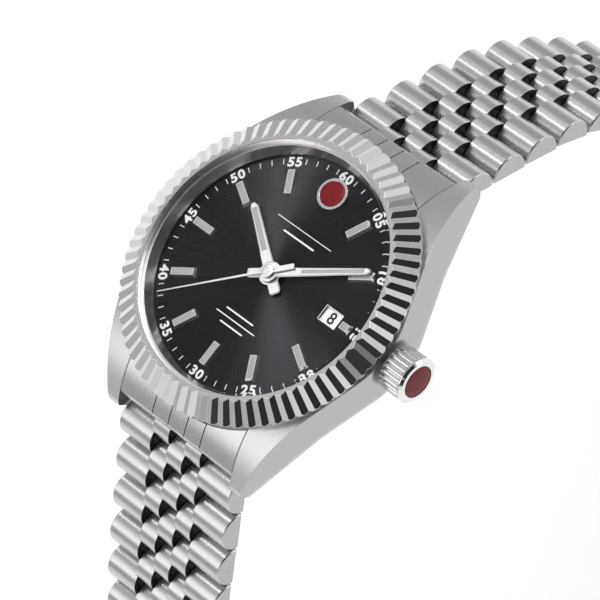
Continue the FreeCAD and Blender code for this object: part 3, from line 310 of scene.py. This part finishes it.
def pearled(name, tone=PLATE_TONE, roughness=0.25, spots_per_metre=1400.0):
    """Plate finished with overlapping round spots."""
    n = Nodes(name)
    place = n.position()
    cells = n.add("TexVoronoi", {"Vector": n.stretched(place, (1, 1, 0)), "Scale": spots_per_metre,
                                 "Randomness": 0.12})
    distance = cells.outputs["Distance"]
    rings = n.math("SINE", n.math("MULTIPLY", distance, 55.0))
    wear = smudges(n, place)
    shader = n.add("BsdfPrincipled", {
        "Base Color": n.shade(wear, scaled(tone, 0.88), tone), "Metallic": 1.0,
        "Roughness": n.remap(distance, roughness - 0.08, roughness + 0.12, 0.0, 0.7),
        "Normal": n.bump(rings, 0.12, mm(0.008), n.rounded(mm(0.04)))})
    return n.finish(shader)


def striped(name, tone=PLATE_TONE, roughness=0.22, pitch=mm(1.5)):
    """Plate with broad wave stripes."""
    n = Nodes(name)
    place = n.position()
    axes = n.add("SeparateXYZ", {"Vector": place}).outputs
    along = n.math("ADD", n.math("MULTIPLY", axes["X"], 0.8), n.math("MULTIPLY", axes["Y"], 0.6))
    phase = n.math("MULTIPLY", along, TURN / pitch)
    arcs = n.noise(n.stretched(place, (2500, 9000, 10), (0, 0, 0.64)), 1.0, 2.0)
    wave = n.math("SINE", phase)
    height = n.math("ADD", wave, n.math("MULTIPLY", arcs, 0.3))
    colour = n.shade(n.remap(wave, 0, 1, -1, 1), scaled(tone, 0.88), tone)
    shader = n.add("BsdfPrincipled", {
        "Base Color": colour, "Metallic": 1.0,
        "Roughness": n.remap(arcs, roughness - 0.05, roughness + 0.1),
        "Normal": n.bump(height, 0.18, mm(0.05), n.rounded(mm(0.04)))})
    return n.finish(shader)


COATED_IOR = 1.12                  # stands for an anti-reflective coating


def clear(name, tint=(1.0, 1.0, 1.0)):
    """Crystal with a coating that takes most of its gloss away; it lets light on to what it covers."""
    n = Nodes(name)
    shader = n.add("BsdfPrincipled", {
        "Base Color": (*tint, 1), "Transmission Weight": 1.0, "IOR": COATED_IOR,
        "Roughness": n.remap(smudges(n, n.position()), 0.0, 0.012)})
    passing = n.add("BsdfTransparent", {"Color": (*tint, 1)})
    shadow = n.add("LightPath").outputs["Is Shadow Ray"]
    mixed = n.add("MixShader", {0: shadow, 1: shader.outputs[0], 2: passing.outputs[0]})
    return n.finish(mixed)


# ---------------------------------------------------------------- mesh helpers

SHARP = math.radians(35)
HERE = Matrix.Identity(4)


def mesh_object(name, mesh, material, body, place=HERE):
    """A piece that rides on a body, with one material."""
    mesh.transform(place)
    obj = bpy.data.objects.new(name, mesh)
    bpy.context.scene.collection.objects.link(obj)
    obj.data.materials.clear()
    obj.data.materials.append(material)
    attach(obj, body)
    return obj


def break_edges(bm, width):
    sharp = [e for e in bm.edges if e.calc_face_angle(0.0) > SHARP]
    bmesh.ops.bevel(bm, geom=sharp, offset=width, segments=1, affect="EDGES", profile=0.6)


def to_mesh(bm, name, smooth=False):
    bmesh.ops.recalc_face_normals(bm, faces=bm.faces)
    mesh = bpy.data.meshes.new(name)
    bm.to_mesh(mesh)
    bm.free()
    for polygon in mesh.polygons:
        polygon.use_smooth = smooth
    return mesh


def millimetres(points):
    return [(mm(first), mm(second)) for first, second in points]


def slab(points, low, high, bevel=0.0):
    """A prism over a closed outline, with its edges broken where a bevel is given."""
    bm = bmesh.new()
    base = bm.faces.new([bm.verts.new((x, y, low)) for x, y in points])
    top = bmesh.ops.extrude_face_region(bm, geom=[base])["geom"]
    for vert in (v for v in top if isinstance(v, bmesh.types.BMVert)):
        vert.co.z = high
    bmesh.ops.recalc_face_normals(bm, faces=bm.faces)
    if bevel:
        break_edges(bm, bevel)
    return bm


def box_points(x_low, x_high, y_low, y_high):
    return [(x_low, y_low), (x_high, y_low), (x_high, y_high), (x_low, y_high)]


def rounded_points(half_x, half_y, radius, steps):
    """A rectangle about the origin with round corners."""
    points = []
    for cx, cy, start in ((1, -1, -90), (1, 1, 0), (-1, 1, 90), (-1, -1, 180)):
        for i in range(steps + 1):
            turn = math.radians(start + 90 * i / steps)
            points.append((cx * (half_x - radius) + radius * math.cos(turn),
                           cy * (half_y - radius) + radius * math.sin(turn)))
    return points


def lathe(profile, steps=64):
    """A closed turned form about Z from (radius, height) points that start and end on the axis."""
    bm = bmesh.new()
    circle = [(math.cos(TURN * i / steps), math.sin(TURN * i / steps)) for i in range(steps)]
    rings = []
    for radius, height in profile:
        if radius == 0:
            rings.append([bm.verts.new((0, 0, height))])
        else:
            rings.append([bm.verts.new((radius * x, radius * y, height)) for x, y in circle])
    for lower, upper in zip(rings, rings[1:]):
        for i in range(steps):
            corners = [lower[i % len(lower)], lower[(i + 1) % len(lower)],
                       upper[(i + 1) % len(upper)], upper[i % len(upper)]]
            unique = list(dict.fromkeys(corners))
            if len(unique) > 2:
                bm.faces.new(unique)
    return bm


def about_z(clockwise, radius=0.0):
    """The place of something drawn at 12 o'clock, turned clockwise and moved outwards."""
    return Matrix.Rotation(-math.radians(clockwise), 4, "Z") @ Matrix.Translation((0, radius, 0))


def join(meshes, name):
    """One mesh of several."""
    bm = bmesh.new()
    for mesh in meshes:
        bm.from_mesh(mesh)
        bpy.data.meshes.remove(mesh)
    joined = bpy.data.meshes.new(name)
    bm.to_mesh(joined)
    bm.free()
    return joined


SIZE_FOR_HEIGHT = 1.42             # the font's size for figures one unit high


def lettered(text, height, thickness, weight, spacing):
    """A number as a thin solid, centred on the origin and standing upright towards +Y."""
    curve = bpy.data.curves.new("number", "FONT")
    curve.body = text
    curve.size = height * SIZE_FOR_HEIGHT
    curve.extrude = thickness / 2
    curve.offset = weight
    curve.space_character = spacing
    curve.resolution_u = 4
    holder = bpy.data.objects.new("number", curve)
    bpy.context.scene.collection.objects.link(holder)
    bpy.context.view_layer.update()
    mesh = bpy.data.meshes.new_from_object(holder)
    bpy.data.objects.remove(holder)
    bpy.data.curves.remove(curve)
    xs, ys = [v.co.x for v in mesh.vertices], [v.co.y for v in mesh.vertices]
    mesh.transform(Matrix.Translation((-(min(xs) + max(xs)) / 2, -(min(ys) + max(ys)) / 2, 0)))
    return mesh


# ---------------------------------------------------------------- materials of the CAD nodes

AROUND_X = (19000, 500, 500)       # grain that runs round the X axis
ALONG_Y = (19000, 400, 19000)      # grain that runs along Y
ALONG_X = (400, 19000, 19000)      # grain that runs along X
SATIN = (30000, 30000, 30000)      # even grain without a direction


def node_materials():
    """Each CAD node's own material; the bracelet's rows are all of link_steel."""
    across, along = (1, 0, 0), (0, 1, 0)
    # link_steel carries painted shade on its inner walls, between the links.
    link_steel = brushed_steel("link_steel", AROUND_X, across, roughness=0.27, gap_shade_reach=mm(7.0))
    case_steel = brushed_steel("case_steel", ALONG_X, along, roughness=0.3, edge=mm(0.1))
    blade_steel = brushed_steel("blade_steel", ALONG_Y, across, roughness=0.26)
    mirror = polished_steel("mirror_steel")
    ring_steel = turned_steel("flange_steel", (0.62, 0.6, 0.6), 0.32)
    back_steel = turned_steel("back_steel", (0.6, 0.595, 0.59), 0.22)
    plate = pearled("pearled_plate")
    stripes = striped("striped_plate")
    gilt = turned_steel("gilt_brass", (0.83, 0.62, 0.3), 0.2)
    blue = polished_steel("blued_steel", (0.06, 0.12, 0.42), 0.12, mm(0.03))
    crystal = clear("sapphire")
    window = clear("window_glass", (0.97, 0.99, 0.98))
    rubber = plain("seal_rubber", (0.02, 0.02, 0.02), 0.6)
    # The date disc's glow is painted light: it brightens the disc down in its window.
    white = plain("date_white_glowing", (0.9, 0.9, 0.89), 0.45, glow=0.35)
    sunburst = sunray("dial_sunray")
    applied = polished_steel("applied_steel", (0.93, 0.925, 0.92), 0.1, mm(0.02))
    chosen = {
        "mid_case": case_steel, "bezel": mirror, "crystal": crystal, "rehaut": ring_steel,
        "dial": sunburst, "hour_markers": applied, "dial_emblem": mirror, "crown_tube": mirror,
        "case_back": back_steel, "back_window": window,
        "movement_ring": back_steel, "mainplate": plate, "train_bridge": stripes, "balance_cock": stripes,
        "movement_screws": blue, "spring_bars": mirror, "hour_wheel": gilt, "centre_wheel": gilt,
        "fourth_wheel": gilt, "third_wheel": gilt, "escape_wheel": mirror, "pallet_fork": mirror,
        "balance_wheel": gilt, "hairspring": blue, "barrel": gilt, "minute_wheel": gilt, "date_disc": white,
        "rotor": striped("striped_rotor", (0.66, 0.65, 0.63), pitch=mm(2.0)), "crown": mirror,
        "winding_stem": mirror, "crown_gasket": rubber, "clasp_cover": blade_steel,
        "clasp_blade_outer": blade_steel, "clasp_blade_inner": blade_steel,
        "clasp_button_left": mirror, "clasp_button_right": mirror,
        "end_link_12": link_steel, "end_link_6": link_steel}
    for name, obj in NODES.items():
        obj.data.materials.clear()
        obj.data.materials.append(chosen.get(name, link_steel))


# ---------------------------------------------------------------- dial print and applied pieces

def minute_track(print_white):
    """Ticks and five-minute numerals, printed on the dial; those near 6 o'clock are turned upright."""
    low, high = dial_top, dial_top + PRINT_RISE
    ticks, numerals = [], []
    for minute in range(60):
        angle = minute * 6
        if minute % 5 == 0:
            number = lettered(f"{minute or 60:02d}", NUMERAL_HEIGHT, PRINT_RISE, NUMERAL_WEIGHT, 1.14)
            number.transform(Matrix.Diagonal((NUMERAL_WIDENING, 1.0, 1.0, 1.0)))
            flip = Matrix.Rotation(math.pi, 4, "Z") if 100 < angle < 260 else HERE
            rise = Matrix.Translation((0, 0, (low + high) / 2))
            number.transform(rise @ about_z(angle, NUMERAL_RING) @ flip)
            numerals.append(number)
        else:
            tick = to_mesh(slab(box_points(-TICK_HALF, TICK_HALF, TICK_INNER, TICK_OUTER), low, high), "tick")
            tick.transform(about_z(angle))
            ticks.append(tick)
    mesh_object("dial_ticks", join(ticks, "ticks"), print_white, "case")
    mesh_object("dial_numerals", join(numerals, "numerals"), print_white, "case")


def dial_ornament(print_white):
    """Two plain rules under the emblem and three above 6 o'clock."""
    # each rule's place up the dial, half its length, and its width
    rules = [(6.35, 4.6, 0.1), (5.2, 2.6, 0.22), (-6.2, 2.3, 0.2), (-7.1, 3.3, 0.14), (-7.95, 1.9, 0.2)]
    meshes = []
    for y, half, width in rules:
        points = box_points(mm(-half), mm(half), mm(y - width / 2), mm(y + width / 2))
        meshes.append(to_mesh(slab(points, dial_top, dial_top + PRINT_RISE), "rule"))
    mesh_object("dial_rules", join(meshes, "rules"), print_white, "case")


def marker_inserts(lume):
    """Pale inserts sunk in the applied markers."""
    meshes = []
    for hour in range(1, 12):
        start = SHORT_MARKER_INNER if hour == 3 else MARKER_INNER
        half_y = (MARKER_OUTER - start) / 2 - MARKER_FRAME
        points = rounded_points(INSERT_HALF, half_y, mm(0.05), 2)
        low, high = marker_high.z - mm(0.155), marker_high.z - mm(0.03)
        mesh = to_mesh(slab(points, low, high, mm(0.025)), "insert")
        mesh.transform(about_z(hour * 30, (start + MARKER_OUTER) / 2))
        meshes.append(mesh)
    mesh_object("marker_inserts", join(meshes, "inserts"), lume, "case")


def emblem(enamel):
    """A plain red enamel disc, slightly domed, inside the emblem's frame."""
    centre = (emblem_low + emblem_high) / 2
    dome = [(0, -0.1), (1.64, -0.1), (1.64, -0.04), (1.5, -0.015), (1.0, -0.002), (0, 0)]
    mesh_object("emblem_enamel", to_mesh(lathe(millimetres(dome), 96), "enamel", True), enamel, "case",
                Matrix.Translation((centre.x, centre.y, emblem_high.z)))


def hand_outline(half, tip, tail, tip_half):
    """Half-octagonal ends on a blade that narrows a little to its tip."""
    cut = half * 0.55
    return [(half - cut * 0.6, -tail), (half, -tail + cut), (half, 0), (tip_half, tip - tip_half),
            (tip_half * 0.45, tip), (-tip_half * 0.45, tip), (-tip_half, tip - tip_half), (-half, 0),
            (-half, -tail + cut), (-half + cut * 0.6, -tail)]


def ridged_hand(outline, low, high):
    """A faceted hand: bevelled sides rising to a flat top."""
    bm = slab(millimetres(outline), mm(low), mm(high))
    top = [e for e in bm.edges if all(abs(v.co.z - mm(high)) < mm(0.0001) for v in e.verts)]
    bmesh.ops.bevel(bm, geom=top, offset=mm(0.14), segments=1, affect="EDGES")
    return to_mesh(bm, "blade")


def hand_base(half, tail, shoulder, high):
    """The solid inner third, a little above the blade."""
    half -= 0.12
    outline = [(half, -tail + 0.12), (half, shoulder - 0.25), (half - 0.26, shoulder),
               (-half + 0.26, shoulder), (-half, shoulder - 0.25), (-half, -tail + 0.12)]
    return to_mesh(slab(millimetres(outline), mm(high - 0.01), mm(high + 0.045), mm(0.025)), "base")


def hand_hub(bore, high):
    """A stepped hub with a raised collar round its bore."""
    rim, collar, inner = bore + 0.62, bore + 0.55, bore + 0.1
    profile = [(0, high), (rim, high), (rim, high + 0.05), (collar, high + 0.08), (inner, high + 0.08),
               (inner, high + 0.05), (0, high + 0.05)]
    return to_mesh(lathe(millimetres(profile)), "hub")


def baton_hand(body, metal, lume):
    """A hand with a framed pale insert beyond its solid base."""
    size = HANDS[body]
    node = body + "_hand"
    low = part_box(node)[0].z / mm(1)
    high = low + size["thick"]
    turn = about_z(size["angle"])
    outline = hand_outline(size["half"], size["tip"], size["tail"], size["tip_half"])
    parts = [ridged_hand(outline, low, high), hand_base(size["half"], size["tail"], size["shoulder"], high),
             hand_hub(size["bore"], high)]
    faceted = mesh_object(node + "_faceted", join(parts, node + "_faceted"), metal, body, turn)
    start, end = size["shoulder"] + 0.1, size["tip"] - 0.75
    middle = mm((start + end) / 2)
    points = rounded_points(mm(size["tip_half"] - 0.2), mm((end - start) / 2), mm(0.06), 3)
    insert = slab([(x, y + middle) for x, y in points], mm(high - 0.01), mm(high + 0.02), mm(0.012))
    mesh_object(node + "_faceted_lume", to_mesh(insert, "lume"), lume, body, turn)
    return faceted


def needle_hand(metal):
    """A needle with a counterweight and a turned cap over its hub."""
    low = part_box("second_hand")[0].z / mm(1)
    needle = [(0.16, -1.0), (0.14, 4.0), (0.075, 14.5), (-0.075, 14.5), (-0.14, 4.0), (-0.16, -1.0)]
    weight = [(0.35, -3.4), (0.35, 0), (-0.35, 0), (-0.35, -3.4), (-0.2, -3.5), (0.2, -3.5)]
    parts = []
    for points in (needle, weight):
        bm = slab(millimetres(points), mm(low), mm(low + 0.14), mm(0.03))
        parts.append(to_mesh(bm, "needle"))
    cap = [(0, 0), (0.8, 0), (0.8, 0.18), (0.72, 0.22), (0.5, 0.24), (0.46, 0.2), (0.3, 0.2), (0.26, 0.25),
           (0.12, 0.29), (0, 0.3)]
    parts.append(to_mesh(lathe([(mm(radius), mm(low + rise)) for radius, rise in cap]), "cap"))
    return mesh_object("second_hand_needle", join(parts, "second"), metal, "second", about_z(SECOND_ANGLE))


def hands(metal, lume):
    hour = baton_hand("hour", metal, lume)
    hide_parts("hour_hand")
    minute = baton_hand("minute", metal, lume)
    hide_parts("minute_hand")
    second = needle_hand(metal)
    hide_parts("second_hand")


def crown_inlay(enamel):
    """Domed red inlay in the crown's end."""
    centre = (crown_low + crown_high) / 2
    dome = [(0, -0.2), (2.1, -0.2), (2.1, -0.08), (1.95, -0.04), (1.2, -0.008), (0, -0.001)]
    place = Matrix.Translation((crown_high.x, centre.y, centre.z)) @ Matrix.Rotation(math.pi / 2, 4, "Y")
    mesh_object("crown_inlay", to_mesh(lathe(millimetres(dome)), "inlay", True), enamel, "crown", place)


def date_numbers(print_black):
    """All the dates on the disc, with the shown one upright in the window."""
    meshes = []
    for day in range(1, DATES + 1):
        number = lettered(str(day), DATE_HEIGHT, PRINT_RISE, mm(0.04), 0.95)
        turn = Matrix.Rotation(TURN * (day - SHOWN_DATE) / DATES, 4, "Z")
        number.transform(turn @ Matrix.Translation((DATE_RADIUS, 0, disc_top + PRINT_RISE / 2)))
        meshes.append(number)
    mesh_object("date_numbers", join(meshes, "dates"), print_black, "date_disc")


def date_frame(print_white):
    """A thin bright edge round the date window."""
    outer = rounded_points(mm(1.43), mm(1.03), mm(0.08), 3)
    inner = rounded_points(mm(1.35), mm(0.95), mm(0.05), 3)
    top = dial_top + mm(0.03)
    bm = bmesh.new()
    rings = [[bm.verts.new((x, y, z)) for x, y in points]
             for points, z in ((outer, dial_top), (outer, top), (inner, top), (inner, dial_top))]
    for lower, upper in zip(rings, rings[1:] + rings[:1]):
        for i in range(len(lower)):
            j = (i + 1) % len(lower)
            bm.faces.new((lower[i], lower[j], upper[j], upper[i]))
    mesh_object("date_frame", to_mesh(bm, "frame"), print_white, "case",
                Matrix.Translation((DATE_RADIUS, 0, 0)))


def jewels(ruby, gilt):
    """Ruby bearings in gilt settings on the back of the bridges, at the ends of the wheels' arbors."""
    bridge_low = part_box("balance_cock")[0].z
    bearings = [("third_wheel", 0.55), ("barrel", 0.8), ("escape_wheel", 0.5), ("balance", 0.55)]
    for number, (body, radius) in enumerate(bearings, start=1):
        x, y = pivots[body][:2]
        place = Matrix.Translation((x, y, bridge_low)) @ Matrix.Rotation(math.pi, 4, "X")
        setting = [(0, 0), (radius + 0.3, 0), (radius + 0.3, 0.05), (radius + 0.22, 0.08), (radius, 0.08),
                   (radius, 0.03), (0, 0.03)]
        stone = [(0, 0.03), (radius - 0.02, 0.03), (radius - 0.04, 0.07), (radius * 0.4, 0.09), (0.12, 0.05),
                 (0, 0.05)]
        setting_mesh = to_mesh(lathe(millimetres(setting), 40), "setting")
        mesh_object(f"jewel_setting_{number}", setting_mesh, gilt, "case", place)
        stone_mesh = to_mesh(lathe(millimetres(stone), 40), "stone", True)
        mesh_object(f"jewel_{number}", stone_mesh, ruby, "case", place)


def build_pieces():
    """Everything that the CAD frame doesn't hold, each piece on its body."""
    print_white = plain("print_white", (0.9, 0.9, 0.9), 0.5, variation=0.04)
    print_black = plain("print_black", (0.01, 0.01, 0.01), 0.5)
    lume = plain("pale_insert", (0.4, 0.41, 0.415), 0.55, variation=0.06)
    enamel = plain("red_enamel", (0.19, 0.001, 0.005), 0.25, coat=0.12, variation=0.15, gloss=0.2)
    ruby = plain("ruby", (0.5, 0.01, 0.06), 0.08, coat=1.0)
    gilt = polished_steel("gilt_setting", (0.85, 0.65, 0.3), 0.1, mm(0.02))
    hand_steel = brushed_steel("hand_steel", SATIN, (1, 0, 0), (0.84, 0.83, 0.81), roughness=0.32,
                               edge=mm(0.015), strength=0.02, anisotropy=0.0)
    minute_track(print_white)
    dial_ornament(print_white)
    marker_inserts(lume)
    emblem(enamel)
    hands(hand_steel, lume)
    crown_inlay(enamel)
    date_numbers(print_black)
    date_frame(print_white)
    jewels(ruby, gilt)


# ---------------------------------------------------------------- studio

DIAL_CENTRE = Vector((0, 0, dial_top))
FLAG_TURN = math.radians(-8)       # where the dark side of the studio is, round from the crown
FLAG_RISE = math.radians(38)       # and above the dial's plane
STUDIO_LEVELS = ((0.3, 0.9), (0.62, 0.95), (0.74, 0.05))   # nearness to that side, and brightness
STUDIO_LIGHT, STUDIO_DARK = 0.55, 0.03                     # brightness away from it, and in its middle
STUDIO_STRENGTH = 0.85
FLOOR_HALF = 3.0
FLOOR_GAP = mm(0.1)

# the camera's axes, its distance from the dial, and where the dial's centre is from the middle of the picture
CAMERA_RIGHT = Vector((0.6787, 0.6103, -0.4085))
CAMERA_DOWN = Vector((0.4897, -0.7906, -0.3677))
CAMERA_DISTANCE = mm(579.0)
LEFT_OF_MIDDLE = mm(3.263)
ABOVE_MIDDLE = mm(2.907)
VIEW_WIDTH = mm(71.2)              # what the picture spans at the dial
SENSOR = 36.0


def floor():
    """Plain pale floor just under the clasp."""
    n = Nodes("floor_paint")
    grain = n.noise(n.position(), 900.0, 3.0)
    shader = n.add("BsdfPrincipled", {
        "Base Color": n.shade(grain, (0.93, 0.93, 0.93), (0.95, 0.95, 0.95)), "Roughness": 0.9,
        "Specular IOR Level": 0.1, "Emission Color": (1, 1, 1, 1), "Emission Strength": 0.36})
    n.finish(shader)
    bm = bmesh.new()
    bmesh.ops.create_grid(bm, x_segments=8, y_segments=8, size=FLOOR_HALF)
    mesh = to_mesh(bm, "floor")
    obj = bpy.data.objects.new("floor", mesh)
    bpy.context.scene.collection.objects.link(obj)
    obj.location.z = cad_box[0].z - FLOOR_GAP
    obj.data.materials.append(n.material)


def soft_light(name, offset, width, height, power):
    """A rectangular lamp at an offset from the dial's centre, which it faces."""
    data = bpy.data.lights.new(name, "AREA")
    data.shape = "RECTANGLE"
    data.size, data.size_y = width, height
    data.energy = power
    lamp = bpy.data.objects.new(name, data)
    bpy.context.scene.collection.objects.link(lamp)
    lamp.location = DIAL_CENTRE + offset
    lamp.rotation_euler = (-offset).to_track_quat("-Z", "Y").to_euler()


def world(flag):
    """Pale surroundings with one dark side, flag, so that polished steel has light and dark to mirror."""
    made = bpy.data.worlds.new("studio")
    bpy.context.scene.world = made
    made.use_nodes = True
    tree = made.node_tree
    tree.nodes.clear()
    place = tree.nodes.new("ShaderNodeTexCoord")
    toward = tree.nodes.new("ShaderNodeVectorMath")
    toward.operation = "DOT_PRODUCT"
    toward.inputs[1].default_value = flag
    ramp = tree.nodes.new("ShaderNodeValToRGB")
    background = tree.nodes.new("ShaderNodeBackground")
    output = tree.nodes.new("ShaderNodeOutputWorld")
    elements = ramp.color_ramp.elements
    elements[0].position, elements[0].color = 0.0, (STUDIO_LIGHT, STUDIO_LIGHT, STUDIO_LIGHT, 1)
    elements[1].position, elements[1].color = 1.0, (STUDIO_DARK, STUDIO_DARK, STUDIO_DARK, 1)
    for position, level in STUDIO_LEVELS:
        element = elements.new(position)
        element.color = (level, level, level, 1)
    background.inputs["Strength"].default_value = STUDIO_STRENGTH
    tree.links.new(place.outputs["Generated"], toward.inputs[0])
    tree.links.new(toward.outputs["Value"], ramp.inputs["Fac"])
    tree.links.new(ramp.outputs["Color"], background.inputs["Color"])
    tree.links.new(background.outputs[0], output.inputs["Surface"])


def camera():
    """A long lens above the crown side, with 12 o'clock running up to the right."""
    right = CAMERA_RIGHT.normalized()
    down = (CAMERA_DOWN - right * CAMERA_DOWN.dot(right)).normalized()
    forward = right.cross(down)
    data = bpy.data.cameras.new("camera")
    data.lens = SENSOR * CAMERA_DISTANCE / VIEW_WIDTH
    data.sensor_width = SENSOR
    data.clip_start, data.clip_end = 0.01, 10
    obj = bpy.data.objects.new("camera", data)
    bpy.context.scene.collection.objects.link(obj)
    place = DIAL_CENTRE - forward * CAMERA_DISTANCE + right * LEFT_OF_MIDDLE + down * ABOVE_MIDDLE
    turn = Matrix((right, -down, -forward)).transposed().to_4x4()
    obj.matrix_world = Matrix.Translation(place) @ turn
    bpy.context.scene.camera = obj
    return right, down, forward


def studio():
    floor()
    right, down, forward = camera()
    world(Vector((math.cos(FLAG_TURN) * math.cos(FLAG_RISE), math.sin(FLAG_TURN) * math.cos(FLAG_RISE),
                  math.sin(FLAG_RISE))))
    soft_light("overhead", Vector((-0.003, 0.33, 0.52)), 0.5, 0.3, 0.75)
    soft_light("dial_light", Vector((-0.206, 0.14, 0.546)), 0.08, 0.08, 0.32)
    soft_light("left_panel", -right * 0.55 - forward * 0.25, 0.25, 0.5, 0.5)
    soft_light("right_panel", right * 0.6 - forward * 0.15 - down * 0.1, 0.2, 0.5, 0.4)
    soft_light("front_fill", -forward * 0.5 + down * 0.45, 0.5, 0.2, 0.25)
    bpy.context.scene.view_settings.view_transform = "Standard"


node_materials()
build_pieces()
studio()
